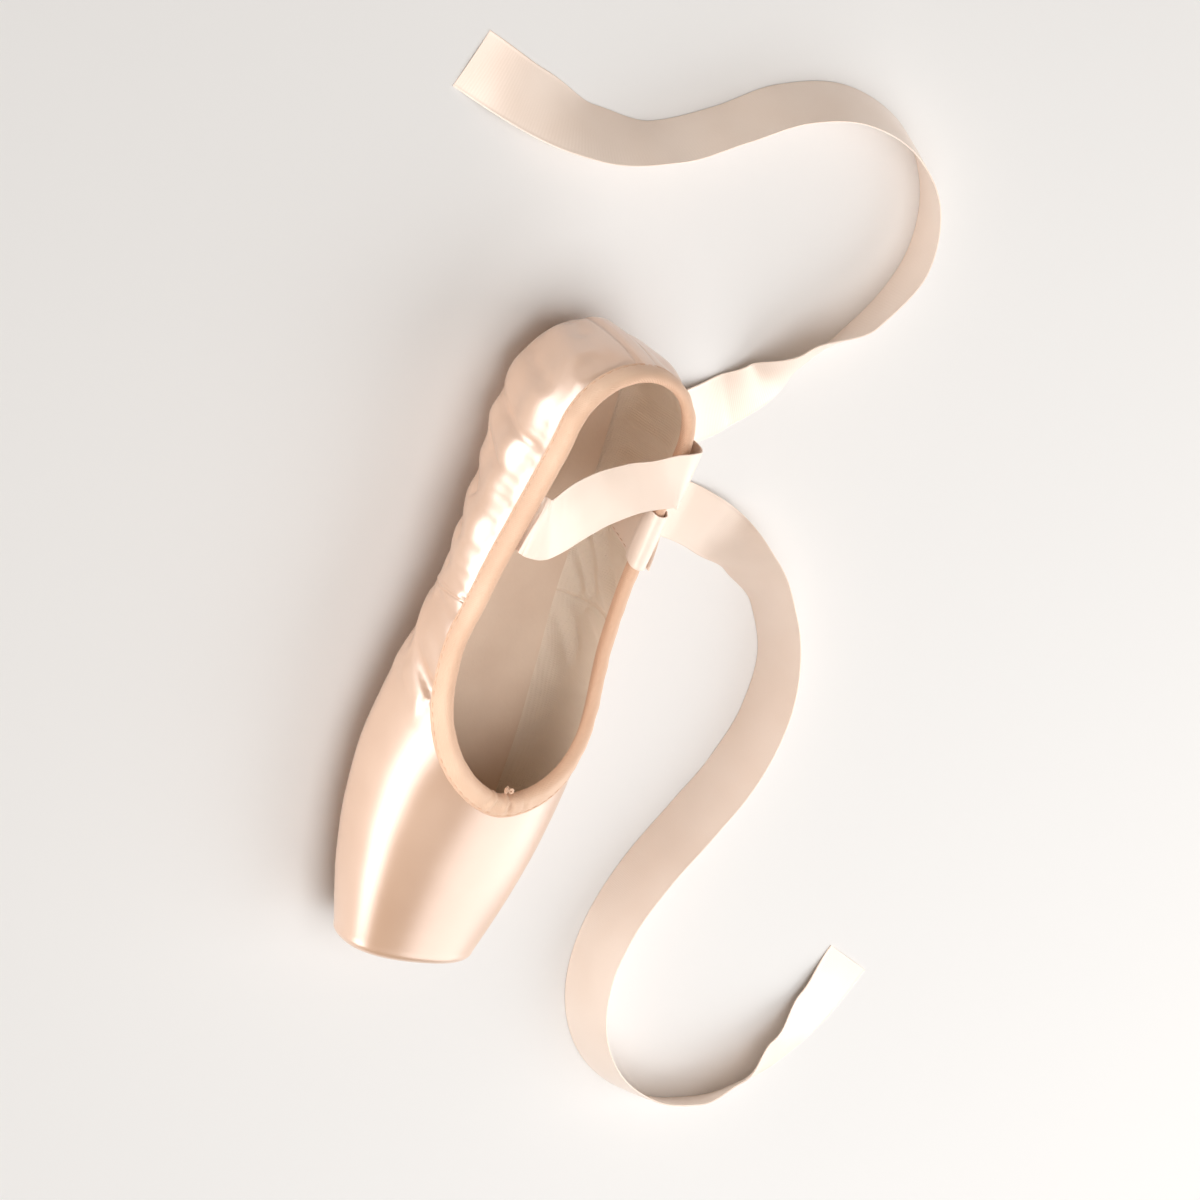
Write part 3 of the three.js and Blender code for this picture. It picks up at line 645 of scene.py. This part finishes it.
def thicken(piece, thickness, edge):
    """Gives an open sheet its thickness inwards, and rounds its cut edge"""
    wall = piece.modifiers.new("thickness", "SOLIDIFY")
    wall.thickness = thickness * mm
    wall.offset = -1
    rounding = piece.modifiers.new("edge", "BEVEL")
    rounding.width = edge * mm
    rounding.segments = 3
    rounding.limit_method = "ANGLE"
    rounding.angle_limit = math.radians(50)
    for step in ("thickness", "edge"):
        bpy.ops.object.modifier_apply(modifier=step)
    bpy.ops.object.shade_smooth()


sole_x, sole_y = plan(sole_edges, sole_half, 170, 47)
sole_z = np.maximum(underside(sole_x, sole_y) - sole_gap - sole_leather_thick - sole_wear, 0.0)
outsole = wrapped_grid("sole_leather_piece", np.stack([sole_x, sole_y, sole_z], -1))
weld(outsole, up=False)
thicken(outsole, sole_leather_thick, edge=0.5)

nail_places = ((46.0, 0.5), (118.0, -1.0))
sole_now = corners(outsole)[0]
rim = sole_half(sole_now[:, 0]) - np.abs(sole_now[:, 1])
rim = np.minimum(rim, np.minimum(sole_now[:, 0] - sole_edges[0], sole_edges[1] - sole_now[:, 0]))
rim_mark = outsole.data.attributes.new("from_the_edge", "FLOAT", "POINT")
rim_mark.data.foreach_set("value", np.clip(rim, 0, 4) / 4)

leather, leather_nodes, leather_links, leather_shader = finish("salmon_sole_leather", 0.62)
leather_place, _, leather_tones = mottled(
    leather_nodes, leather_links, scale=22, detail=6,
    darker=(0.47, 0.205, 0.125), lighter=(0.60, 0.285, 0.18), lighter_from=0.72,
)
leather_rim = leather_nodes.new("ShaderNodeAttribute")
leather_rim.attribute_name = "from_the_edge"
leather_rim_tones = leather_nodes.new("ShaderNodeValToRGB")
leather_rim_tones.color_ramp.elements[0].color = (1, 1, 1, 1)
leather_rim_tones.color_ramp.elements[1].position = 0.28
leather_rim_tones.color_ramp.elements[1].color = (0, 0, 0, 1)
leather_with_rim = leather_nodes.new("ShaderNodeMixRGB")
leather_with_rim.inputs["Color2"].default_value = (0.78, 0.47, 0.31, 1)
leather_links.new(leather_rim.outputs["Fac"], leather_rim_tones.inputs["Fac"])
leather_links.new(leather_rim_tones.outputs["Color"], leather_with_rim.inputs["Fac"])
leather_links.new(leather_tones.outputs["Color"], leather_with_rim.inputs["Color1"])

# Scored lines and nail holes darken the leather and sink into it
leather_parts = leather_nodes.new("ShaderNodeSeparateXYZ")
leather_links.new(leather_place.outputs["Object"], leather_parts.inputs["Vector"])


def leather_math(operation, first, second=0.0, third=0.0):
    """One step of arithmetic in the leather's nodes"""
    node = leather_nodes.new("ShaderNodeMath")
    node.operation = operation
    for socket, value in zip(node.inputs, (first, second, third)):
        if isinstance(value, (int, float)):
            socket.default_value = value
        else:
            leather_links.new(value, socket)
    return node.outputs["Value"]


sole_ahead, sole_across = leather_parts.outputs["X"], leather_parts.outputs["Y"]
scored_half_width = 0.00022
nail_radius = 0.0011


def scored(offset, slope, spacing, start, end):
    """Lines y = offset + slope x, a spacing apart, between two places along the sole"""
    place = leather_math("MULTIPLY_ADD", sole_ahead, -slope, sole_across)
    wave = leather_math("PINGPONG", leather_math("SUBTRACT", place, offset * mm), spacing * mm / 2)
    line = leather_math("COMPARE", wave, 0.0, scored_half_width)
    after = leather_math("GREATER_THAN", sole_ahead, (start - shoe_length / 2) * mm)
    before = leather_math("LESS_THAN", sole_ahead, (end - shoe_length / 2) * mm)
    return leather_math("MULTIPLY", line, leather_math("MULTIPLY", after, before))


marks = None
for offset, slope, spacing, start, end in (
    (-1.0, 0.27, 17.0, 122, 192),
    (-1.0, -0.27, 17.0, 122, 192),
    (0.0, 0.55, 6.0, 192.5, 204),
    (0.0, -0.55, 6.0, 192.5, 204),
):
    lines = scored(offset, slope, spacing, start, end)
    marks = lines if marks is None else leather_math("MAXIMUM", marks, lines)
border = leather_math("COMPARE", sole_ahead, (192.3 - shoe_length / 2) * mm, scored_half_width)
marks = leather_math("MAXIMUM", marks, border)
for x, y in nail_places:
    ahead_of_nail = leather_math("SUBTRACT", sole_ahead, (x - shoe_length / 2) * mm)
    beside_nail = leather_math("SUBTRACT", sole_across, y * mm)
    reach = leather_math("SQRT", leather_math(
        "ADD", leather_math("POWER", ahead_of_nail, 2.0), leather_math("POWER", beside_nail, 2.0),
    ))
    hole = leather_math("MULTIPLY", leather_math("LESS_THAN", reach, nail_radius), 2.4)
    marks = leather_math("MAXIMUM", marks, hole)
leather_dark = leather_nodes.new("ShaderNodeMixRGB")
leather_dark.inputs["Color2"].default_value = (0.16, 0.06, 0.035, 1)
leather_links.new(leather_math("MULTIPLY", marks, 0.35), leather_dark.inputs["Fac"])
leather_links.new(leather_with_rim.outputs["Color"], leather_dark.inputs["Color1"])
leather_links.new(leather_dark.outputs["Color"], leather_shader.inputs["Base Color"])
leather_grain = leather_nodes.new("ShaderNodeTexVoronoi")
leather_grain.inputs["Scale"].default_value = 1500
leather_links.new(leather_place.outputs["Object"], leather_grain.inputs["Vector"])
leather_sunk = leather_math("MULTIPLY", marks, 1.5)
leather_height = leather_math("SUBTRACT", leather_grain.outputs["Distance"], leather_sunk)
relief(leather_nodes, leather_links, leather_shader, leather_height, strength=0.35, distance=0.0003)
outsole.data.materials.append(leather)
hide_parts("outsole")
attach(outsole, "root")

# The insole
# A sock lining of soft leather on a thin board, glued in over the turned-in satin. It is cut to the foot and
# bends up a little with the wall at its edge, and it shows through the collar.
insole_rows = table(
    "x half",
    (20, 21), (45, 21.5), (90, 20.5), (160, 26.5), (190, 25), (210, 19),
)
insole_edges = (5, 220)
insole_toe_centre = 196
insole_board = 2
board_slack = 0.2


def insole_half(x):
    """Half the sock lining's width at x"""
    return rounded_half(x, insole_rows, insole_edges, insole_toe_centre, 0.0)


insole_x, insole_y = plan(insole_edges, insole_half, 110, 31)
insole_wall = along(last_rows, "wall", insole_x)
insole_z = underside(insole_x, insole_y, insole_wall) + sole_gap + insole_board
insole = wrapped_grid("sock_lining", np.stack([insole_x, insole_y, insole_z], -1))
weld(insole, up=True)
thicken(insole, insole_board - board_slack, edge=0.6)
sock, sock_nodes, sock_links, sock_shader = finish("sock_lining_leather", 0.75)
sock_place, _, sock_tones = mottled(
    sock_nodes, sock_links, scale=35, detail=5, darker=(0.72, 0.55, 0.43), lighter=(0.80, 0.64, 0.51),
)
sock_grain = sock_nodes.new("ShaderNodeTexNoise")
sock_grain.inputs["Scale"].default_value = 900
sock_links.new(sock_place.outputs["Object"], sock_grain.inputs["Vector"])
sock_links.new(sock_tones.outputs["Color"], sock_shader.inputs["Base Color"])
relief(sock_nodes, sock_links, sock_shader, sock_grain.outputs["Fac"], strength=0.3, distance=0.0003)
insole.data.materials.append(sock)
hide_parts("insole")
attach(insole, "root")

# The binding
# Cotton tape folded over the raw edge of the collar, with the drawstring inside the fold, which makes it
# round. It is sewn through near its outer edge, and drawn up into small gathers at the throat.
tape_slack = 0.35


def last_share(p):
    """The distance of points from the outside of the last, as a share of the section: 1 is on it"""
    base = np.maximum(p[..., 0], heel_centre)
    half = along(last_rows, "half", base)
    wide = along(last_rows, "wide", base)
    out = np.hypot(p[..., 1] / half, np.maximum(heel_centre - p[..., 0], 0) / heel_centre)
    over = p[..., 2] > wide
    reach = np.where(over, along(last_rows, "high", base) - wide, wide - along(last_rows, "low", base))
    power = np.where(over, along(last_rows, "high_power", base), along(last_rows, "low_power", base))
    return (out**power + (np.abs(p[..., 2] - wide) / reach) ** power) ** (1 / power)


def last_slope(p):
    """The change of that share along each axis"""
    steps = 0.5 * np.eye(3)
    return np.stack([(last_share(p + step) - last_share(p - step)) for step in steps], -1)


def off_last(p, lift):
    """Points moved square to the last until they stand a height off its outside"""
    for _ in range(3):
        slope = last_slope(p)
        p = p + slope * ((1 - last_share(p)) / np.sum(slope**2, -1))[..., None]
    slope = last_slope(p)
    return p + slope / np.linalg.norm(slope, axis=-1, keepdims=True) * np.asarray(lift)[..., None]


def beside_collar(edge, over, down, lift):
    """Places beside the collar's edge: down the upper, or over the edge if negative, and off the outside"""
    return off_last(edge - over * np.asarray(down)[..., None], lift)


half_loop = np.concatenate([
    throat_start + (throat - throat_start) * np.sin(np.linspace(math.pi / 2, 0, 300)) ** (2 / throat_power),
    np.linspace(throat_start, heel_centre, 300)[1:],
    np.linspace(heel_centre, 0, 200)[1:],
])
left_edge = on_last(half_loop, collar_angle(half_loop), 1)
right_edge = on_last(half_loop, collar_angle(half_loop), -1)[::-1]
collar_line = np.concatenate([left_edge, right_edge[1:]])
collar_length = np.concatenate([[0], np.cumsum(np.linalg.norm(np.diff(collar_line, axis=0), axis=1))])
ring_count = 520
ring_at = np.linspace(0, collar_length[-1], ring_count + 1)
ring_edge = np.stack([np.interp(ring_at, collar_length, collar_line[:, k]) for k in range(3)], -1)
ring_ahead = np.roll(ring_edge[:-1], -1, 0) - np.roll(ring_edge[:-1], 1, 0)
ring_ahead = np.vstack([ring_ahead, ring_ahead[:1]])
ring_off = last_slope(ring_edge)
ring_off /= np.linalg.norm(ring_off, axis=-1, keepdims=True)
ring_over = np.cross(ring_off, ring_ahead)
ring_over /= np.linalg.norm(ring_over, axis=-1, keepdims=True)

# The tape's profile across the fold, as (down, lift) places; inside the shoe the wall comes off the lift
outside_profile = (
    (6.9, 0.15), (7.0, 0.5), (6.75, 0.72), (6.3, 0.72), (6.0, 0.58), (5.7, 0.74), (5.1, 0.95), (4.3, 1.15),
    (3.5, 1.3), (2.7, 1.38), (1.9, 1.38), (1.2, 1.28), (0.6, 1.1), (0.0, 0.8),
)
inside_profile = (
    (0.0, -0.6), (0.7, -0.95), (1.5, -1.1), (2.6, -1.1), (3.8, -1.0), (4.7, -0.95), (5.0, -0.7), (4.9, -0.35),
)
loop_share = ring_at / collar_length[-1]
throat_near = np.exp(-((np.minimum(loop_share, 1 - loop_share) * collar_length[-1] / 8) ** 2))
from_throat = np.where(loop_share > 0.5, loop_share - 1, loop_share) * collar_length[-1]
gather = throat_near * (0.7 * np.cos(from_throat * 1.35 + 0.4) + 0.5 * np.cos(from_throat * 2.3 - 0.9))
ripple = 0.10 * np.sin(loop_share * 2 * math.pi * 31) + 0.08 * np.sin(loop_share * 2 * math.pi * 53 + 1.3)
ring_wall = along(last_rows, "wall", ring_edge[:, 0]) + tape_slack
profile_rings = []
for down, lift in outside_profile:
    swell = (gather + ripple) * np.exp(-(((down - 2.2) / 2.6) ** 2))
    profile_rings.append(beside_collar(ring_edge, ring_over, down, lift + swell))
for turn_down, share in ((-0.6, 0.18), (-1.05, 0.5), (-0.6, 0.82)):
    swell = (gather + ripple) * 0.8
    lift = 0.8 - share * (1.4 + ring_wall)
    profile_rings.append(beside_collar(ring_edge, ring_over, turn_down - swell * 0.5, lift))
for down, lift in inside_profile:
    profile_rings.append(beside_collar(ring_edge, ring_over, down, lift - ring_wall))
profile_rings.append(beside_collar(ring_edge, ring_over, 0.0, -0.2 - (ring_wall - tape_slack) / 2))
profile_rings.append(beside_collar(ring_edge, ring_over, -0.2, 0.15))
profile_rings.append(profile_rings[0])
binding = wrapped_grid("collar_tape", np.stack(profile_rings, 1))
weld(binding, gap=0.02)
bpy.ops.object.shade_smooth()

tape, tape_nodes, tape_links, tape_shader = finish("cotton_tape", 0.6)
tape_shader.inputs["Sheen Weight"].default_value = 0.15
tape_shader.inputs["Sheen Roughness"].default_value = 0.5
_, _, tape_tones = mottled(
    tape_nodes, tape_links, scale=60, detail=2, darker=(0.72, 0.475, 0.33), lighter=(0.79, 0.55, 0.395),
)
tape_map = tape_nodes.new("ShaderNodeUVMap")
tape_twill = tape_nodes.new("ShaderNodeTexWave")
tape_twill.bands_direction = "DIAGONAL"
tape_twill.inputs["Scale"].default_value = 1.0
tape_turn = tape_nodes.new("ShaderNodeMapping")
tape_turn.inputs["Scale"].default_value = (220, 16, 1)
tape_across = tape_nodes.new("ShaderNodeSeparateXYZ")
# Painted shade across the tape darkens it toward a deeper tan. At its outer edge it is partly shade where the
# tape meets the satin and partly soiling. It is a little darker beside the ridge, and darkest over the lip
# and inside the collar, where it stands for the shadow inside the shoe. The ridge between is left light.
tape_shade_across = tape_nodes.new("ShaderNodeValToRGB")
for place, tone in ((0.14, 0.0), (0.24, 0.15), (0.40, 0.0), (0.56, 0.5), (1.0, 0.9)):
    edge_tone = tape_shade_across.color_ramp.elements.new(place)
    edge_tone.color = (tone, tone, tone, 1)
tape_shade_across.color_ramp.elements[0].color = (1, 1, 1, 1)
tape_painted_shade = tape_nodes.new("ShaderNodeMixRGB")
tape_painted_shade.inputs["Color2"].default_value = (0.66, 0.38, 0.24, 1)
tape_links.new(tape_map.outputs["UV"], tape_across.inputs["Vector"])
tape_links.new(tape_across.outputs["Y"], tape_shade_across.inputs["Fac"])
tape_links.new(tape_shade_across.outputs["Color"], tape_painted_shade.inputs["Fac"])
tape_links.new(tape_tones.outputs["Color"], tape_painted_shade.inputs["Color1"])
tape_links.new(tape_painted_shade.outputs["Color"], tape_shader.inputs["Base Color"])
tape_links.new(tape_map.outputs["UV"], tape_turn.inputs["Vector"])
tape_links.new(tape_turn.outputs["Vector"], tape_twill.inputs["Vector"])
relief(tape_nodes, tape_links, tape_shader, tape_twill.outputs["Fac"], strength=0.35, distance=0.0002)
binding.data.materials.append(tape)
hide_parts("binding")
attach(binding, "root")

# The binding's stitches
# A row of small stitches in matching thread, right round the collar. They are sewn through the tape and the
# wall, and lie sunk in the groove near the tape's outer edge.
stitch_pitch = 3.0
stitch_length = 2.1
stitch_thick = 0.42


def sewn_row(name, middles, headings, normals):
    """One small stitch, copied to each place along its heading and joined"""
    bpy.ops.object.select_all(action="DESELECT")
    bpy.ops.mesh.primitive_uv_sphere_add(segments=8, ring_count=6, radius=0.5)
    single = bpy.context.active_object
    stretch = Matrix.Diagonal((stitch_length * mm, stitch_thick * mm, stitch_thick * mm, 1))
    copies = []
    for middle, heading, normal in zip(middles, headings, normals):
        forward = Vector(heading).normalized()
        side = Vector(normal).cross(forward).normalized()
        turn = Matrix((forward, side, forward.cross(side))).transposed().to_4x4()
        copy = single.copy()
        copy.data = single.data.copy()
        copy.data.transform(Matrix.Translation(Vector(middle)) @ turn @ stretch)
        bpy.context.collection.objects.link(copy)
        copies.append(copy)
    bpy.data.objects.remove(single)
    for copy in copies:
        copy.select_set(True)
    bpy.context.view_layer.objects.active = copies[0]
    bpy.ops.object.join()
    row = bpy.context.active_object
    row.name = row.data.name = name
    bpy.ops.object.shade_smooth()
    return row


stitch_count = round(collar_length[-1] / stitch_pitch)
stitch_rings = np.linspace(0, ring_count, stitch_count, endpoint=False).astype(int)
groove_line = beside_collar(ring_edge, ring_over, 6.0, 0.66)
thread, _, _, thread_shader = finish("sewing_thread", 0.55)
thread_shader.inputs["Base Color"].default_value = (0.72, 0.45, 0.30, 1)
binding_stitches = sewn_row(
    "collar_stitches",
    in_frame(groove_line[stitch_rings]),
    ring_ahead[stitch_rings],
    ring_off[stitch_rings],
)
binding_stitches.data.materials.append(thread)
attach(binding_stitches, "root")

# The drawstring's knot
# The two ends of the thin cotton cord inside the binding come out at the throat. They are tied in one small
# knot and trimmed short.
knot_middle = (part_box("drawstring_knot")[0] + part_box("drawstring_knot")[1]) / 2
bpy.ops.object.select_all(action="DESELECT")
bpy.ops.curve.primitive_bezier_circle_add()
knot = bpy.context.active_object
knot.name = "tied_drawstring"
knot_line = knot.data.splines[0]
knot.data.splines.remove(knot_line)
knot_line = knot.data.splines.new("NURBS")
knot_turns = 48
knot_line.points.add(knot_turns - 1)
for k in range(knot_turns):
    turn = k / knot_turns * 2 * math.pi
    knot_line.points[k].co = (
        knot_middle.x + 0.00075 * math.sin(3 * turn),
        knot_middle.y + (0.00105 * math.sin(turn) + 0.0007 * math.sin(2 * turn)),
        knot_middle.z + 0.0006 * (math.cos(turn) - math.cos(2 * turn)),
        1,
    )
knot_line.use_cyclic_u = True
knot.data.bevel_depth = 0.00045
knot.data.bevel_resolution = 3
bpy.ops.object.convert(target="MESH")
bpy.ops.object.shade_smooth()
knot.data.materials.clear()
knot.data.materials.append(tape)
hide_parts("drawstring_knot")
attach(knot, "root")

# The ribbons
# Two lengths of woven satin ribbon, one sewn inside each quarter. The left one goes over the lip of its own
# quarter, and the right one across the collar. Both reach the floor in loose curves, mostly on their edges.
ribbon_width = 22
ribbon_thick = 0.4
ribbon_from_heel = 65
left_route = table(
    "x y z lift",
    (65, 29.4, 47.5, 0),
    (65, 31.5, 35, 0),
    (65, 38, 20, 0),
    (66, 50, 8, 0),
    (68, 66, 1.6, 0),
    (73, 84, 0, 12),
    (83, 102, 0, 50),
    (98, 117, 0, 72),
    (118, 127, 0, 78),
    (140, 129, 0, 74),
    (162, 124, 0, 68),
    (182, 114, 0, 66),
    (202, 103, 0, 68),
    (223, 95, 0, 72),
    (245, 93, 0, 75),
    (266, 99, 0, 77),
    (283, 113, 0, 77),
    (293, 133, 0, 75),
    (295, 155, 0, 68),
    (288, 176, 0, 52),
    (274, 193, 0, 28),
    (256, 206, 0, 8),
    (236, 215, 0, 0),
)
right_route = table(
    "x y z lift",
    (65, -22.1, 47.1, 0),
    (65.2, -21.8, 48.3, 0),
    (65.4, -20, 49.9, 0),
    (65, -16.8, 49.9, 0),
    (62.8, -11, 47.4, 0),
    (58.4, -3.5, 44.9, 0),
    (52.6, 4.6, 45.3, 2),
    (46.6, 12, 49.4, 5),
    (42.2, 17.6, 55.2, 7.5),
    (40.2, 20.8, 57.1, 9),
    (39.2, 24.2, 57.8, 9.5),
    (38.8, 27.6, 55.4, 9),
    (38.6, 29.6, 50.5, 6),
    (38.5, 30.8, 42, 3),
    (38.4, 33, 31.5, 0),
    (38, 37.6, 20.5, 0),
    (37, 45, 11, 0),
    (34.5, 55, 4.8, 0),
    (29, 68, 1.6, 0),
    (19, 82, 0, 12),
    (5, 94, 0, 46),
    (-12.5, 113, 0, 72),
    (-36, 125, 0, 77),
    (-61, 121, 0, 76),
    (-80, 103, 0, 72),
    (-88, 77, 0, 70),
    (-84, 51, 0, 72),
    (-73, 29, 0, 75),
    (-63, 6, 0, 70),
    (-61, -20, 0, 48),
    (-67, -46, 0, 18),
    (-76, -72, 0, 0),
)


def collar_place(x, hand):
    """The collar's edge over one place of a quarter, with the directions off the last and over the edge"""
    beside = (x, x - hand, x + hand)
    at = [on_last(np.array(place), collar_angle(np.array(place)), hand) for place in beside]
    off = last_slope(at[0])
    off /= np.linalg.norm(off)
    over = np.cross(off, at[1] - at[2])
    return at[0], off, over / np.linalg.norm(over)


def ribbon_frames(route, hand, steps=12):
    """Along a route: the middle, the direction of the width and that of the face"""
    points = np.array([(row["x"], row["y"], row["z"]) for row in route], float)
    lifts = np.array([row["lift"] for row in route], float)
    last = len(points) - 1
    padded = np.vstack([2 * points[0] - points[1], points, 2 * points[-1] - points[-2]])
    u = np.linspace(0, last, last * steps + 1)
    k = np.minimum(u.astype(int), last - 1)
    t = (u - k)[:, None]
    start, end = padded[k + 1], padded[k + 2]
    leave, arrive = (end - padded[k]) / 2, (padded[k + 3] - start) / 2
    cubic = 2 * start - 2 * end + leave + arrive
    square = -3 * start + 3 * end - 2 * leave - arrive
    middle = ((cubic * t + square) * t + leave) * t + start
    heading = (3 * cubic * t + 2 * square) * t + leave
    heading /= np.linalg.norm(heading, axis=1, keepdims=True)
    lift = np.radians(lifts[k] + (lifts[k + 1] - lifts[k]) * smooth(u - k))[:, None]
    _, off, over = collar_place(ribbon_from_heel, hand)
    outward = math.copysign(1, (points[4, 1] - points[0, 1]) * hand)
    collar_way = np.cross(over, off) * outward
    width = np.stack([-heading[:, 1], heading[:, 0], np.zeros(len(u))], -1)
    width /= np.linalg.norm(width, axis=1, keepdims=True)
    keep = (1 - smooth(u / 3))[:, None]
    width = width * (1 - keep) + collar_way * keep
    width -= heading * np.sum(width * heading, 1, keepdims=True)
    width /= np.linalg.norm(width, axis=1, keepdims=True)
    width = width * np.cos(lift) + np.cross(heading, width) * np.sin(lift)
    face = np.cross(heading, width)
    reach = ribbon_width / 2 * np.abs(width[:, 2]) + ribbon_thick / 2 * np.abs(face[:, 2])
    middle[:, 2] = np.maximum(middle[:, 2], reach + 0.05)
    return middle, width, face


def ribbon_strip(name, middle, width, face):
    """A strip of ribbon with a thicker woven edge along each side"""
    half = (1, 0.985, 0.955, 0.93, 0.88, 0.7, 0.45, 0.2)
    across = np.array([*half, 0, *(-share for share in reversed(half))])
    thick = np.where(np.abs(across) > 0.94, 1.35, 1.0) * ribbon_thick / 2
    thick[[0, -1]] *= 0.6
    bow = 0.25 * np.cos(across * math.pi / 2)
    top = [(share, up + rise) for share, up, rise in zip(across, thick, bow)]
    below = [(share, -up + rise) for share, up, rise in zip(across, thick, bow)][::-1]
    profile = top + below + top[:1]
    places = np.stack(
        [middle + width * (share * ribbon_width / 2) + face * up for share, up in profile], 1,
    )
    places[..., 2] = np.maximum(places[..., 2], 0.02)
    strip = wrapped_grid(name, places)
    weld(strip, gap=0.005)
    bpy.ops.object.mode_set(mode="EDIT")
    bpy.ops.mesh.select_mode(type="EDGE")
    bpy.ops.mesh.select_all(action="DESELECT")
    bpy.ops.mesh.select_non_manifold()
    bpy.ops.mesh.edge_face_add()
    bpy.ops.mesh.select_all(action="SELECT")
    bpy.ops.mesh.normals_make_consistent(inside=False)
    bpy.ops.object.mode_set(mode="OBJECT")
    bpy.ops.object.shade_smooth_by_angle(angle=math.radians(50))
    return strip


ribbon_satin, ribbon_nodes, ribbon_links, ribbon_shader = finish("ribbon_satin", 0.42)
ribbon_shader.inputs["Metallic"].default_value = 0.15
ribbon_shader.inputs["Sheen Weight"].default_value = 0.25
_, _, ribbon_tones = mottled(
    ribbon_nodes, ribbon_links, scale=30, detail=2, darker=(0.86, 0.70, 0.59), lighter=(0.92, 0.78, 0.68),
)
ribbon_map = ribbon_nodes.new("ShaderNodeUVMap")
ribbon_weft = ribbon_nodes.new("ShaderNodeTexWave")
ribbon_weft.bands_direction = "X"
ribbon_weft.inputs["Scale"].default_value = 1.0
ribbon_scale = ribbon_nodes.new("ShaderNodeMapping")
ribbon_scale.inputs["Scale"].default_value = (240, 1, 1)
ribbon_links.new(ribbon_map.outputs["UV"], ribbon_scale.inputs["Vector"])
ribbon_links.new(ribbon_scale.outputs["Vector"], ribbon_weft.inputs["Vector"])
ribbon_links.new(ribbon_tones.outputs["Color"], ribbon_shader.inputs["Base Color"])
relief(ribbon_nodes, ribbon_links, ribbon_shader, ribbon_weft.outputs["Fac"], strength=0.12, distance=0.0002)

for side, route, hand in (("left", left_route, 1), ("right", right_route, -1)):
    middle, width, face = ribbon_frames(route, hand)
    strip = ribbon_strip("ribbon_strip_" + side, middle, width, face)
    strip.data.materials.append(ribbon_satin)
    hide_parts("ribbon_" + side)
    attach(strip, "root")

# The ribbons' sewn ends
# Each ribbon lies flat against the lining and is sewn down inside its quarter with small hand stitches. The
# left one goes on over the lip of the collar. The right one stops below it, where the ribbon leaves it.
ribbon_sewn = 24
ribbon_thread, _, _, ribbon_thread_shader = finish("ribbon_thread", 0.55)
ribbon_thread_shader.inputs["Base Color"].default_value = (0.80, 0.60, 0.48, 1)
sewn_wall = float(along(last_rows, "wall", np.array(ribbon_from_heel))) + tape_slack
on_wall = -sewn_wall - 0.35
on_tape = -sewn_wall - 1.35
inside_route = (
    *((down, on_wall) for down in (ribbon_sewn, 20, 16, 12, 9)),
    (7.5, on_wall - 0.3),
    *((down, on_tape - out) for down, out in ((6.2, 0.1), (4.6, 0.25), (3.0, 0.3), (1.8, 0.3), (0.8, 0.2))),
)
over_route = (
    (-0.6, on_tape + 0.2), (-1.7, on_tape + 0.9), (-2.2, -sewn_wall / 2 - 0.6),
    (-2.3, -sewn_wall / 2 + 0.4), (-1.8, 0.9), (-0.9, 1.7), (0.3, 2.1), (1.5, 2.3),
)


def sewn_route(route, x, hand):
    """A route of (down, lift) places over one place of the collar"""
    edge, _, over = collar_place(x, hand)
    down, lift = np.array(route).T
    return beside_collar(edge, over, down, lift)


for side, hand, route, ribbon_route in (
    ("left", 1, inside_route + over_route, left_route),
    ("right", -1, inside_route, right_route),
):
    sides = [sewn_route(route, ribbon_from_heel + way * ribbon_width / 2, hand) for way in (1, -1)]
    middle, width, _ = ribbon_frames(ribbon_route, hand)
    reach = np.linalg.norm(sides[0] - sides[1], axis=1, keepdims=True)
    strip_middle = (sides[0] + sides[1]) / 2
    strip_width = (sides[0] - sides[1]) / reach
    if np.dot(strip_width[-1], width[0]) < 0:
        strip_width = -strip_width
    strip_middle = np.vstack([strip_middle, middle[:2]])
    strip_width = np.vstack([strip_width, width[:2]])
    step = np.gradient(strip_middle, axis=0)
    strip_face = np.cross(step, strip_width)
    strip_face /= np.linalg.norm(strip_face, axis=1, keepdims=True)
    end = ribbon_strip("ribbon_sewn_end_" + side, strip_middle, strip_width, strip_face)
    end.data.materials.append(ribbon_satin)
    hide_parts("ribbon_" + side + "_sewn_end")
    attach(end, "root")

    # Hand stitches round three sides of the sewn part
    rows = []
    for way in (1, -1):
        x = ribbon_from_heel + way * (ribbon_width / 2 - 1.2)
        rows.append([(x, down) for down in (22, 18.5, 15, 11.5)])
    rows.append([(ribbon_from_heel + way, 22.4) for way in (-7, -3.5, 0, 3.5, 7)])
    middles, headings, normals = [], [], []
    for row in rows:
        for x, down in row:
            place = sewn_route(((down, on_wall - 0.35), (down - 1, on_wall - 0.35)), x, hand)
            beside = sewn_route(((down, on_wall - 0.35),), x + 1, hand)
            middles.append(in_frame(place[0]))
            headings.append(place[1] - place[0] if row is not rows[2] else beside[0] - place[0])
            normals.append(np.cross(place[1] - place[0], beside[0] - place[0]))
    hand_stitches = sewn_row("sewn_end_stitches_" + side, middles, headings, normals)
    hand_stitches.data.materials.append(ribbon_thread)
    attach(hand_stitches, "root")
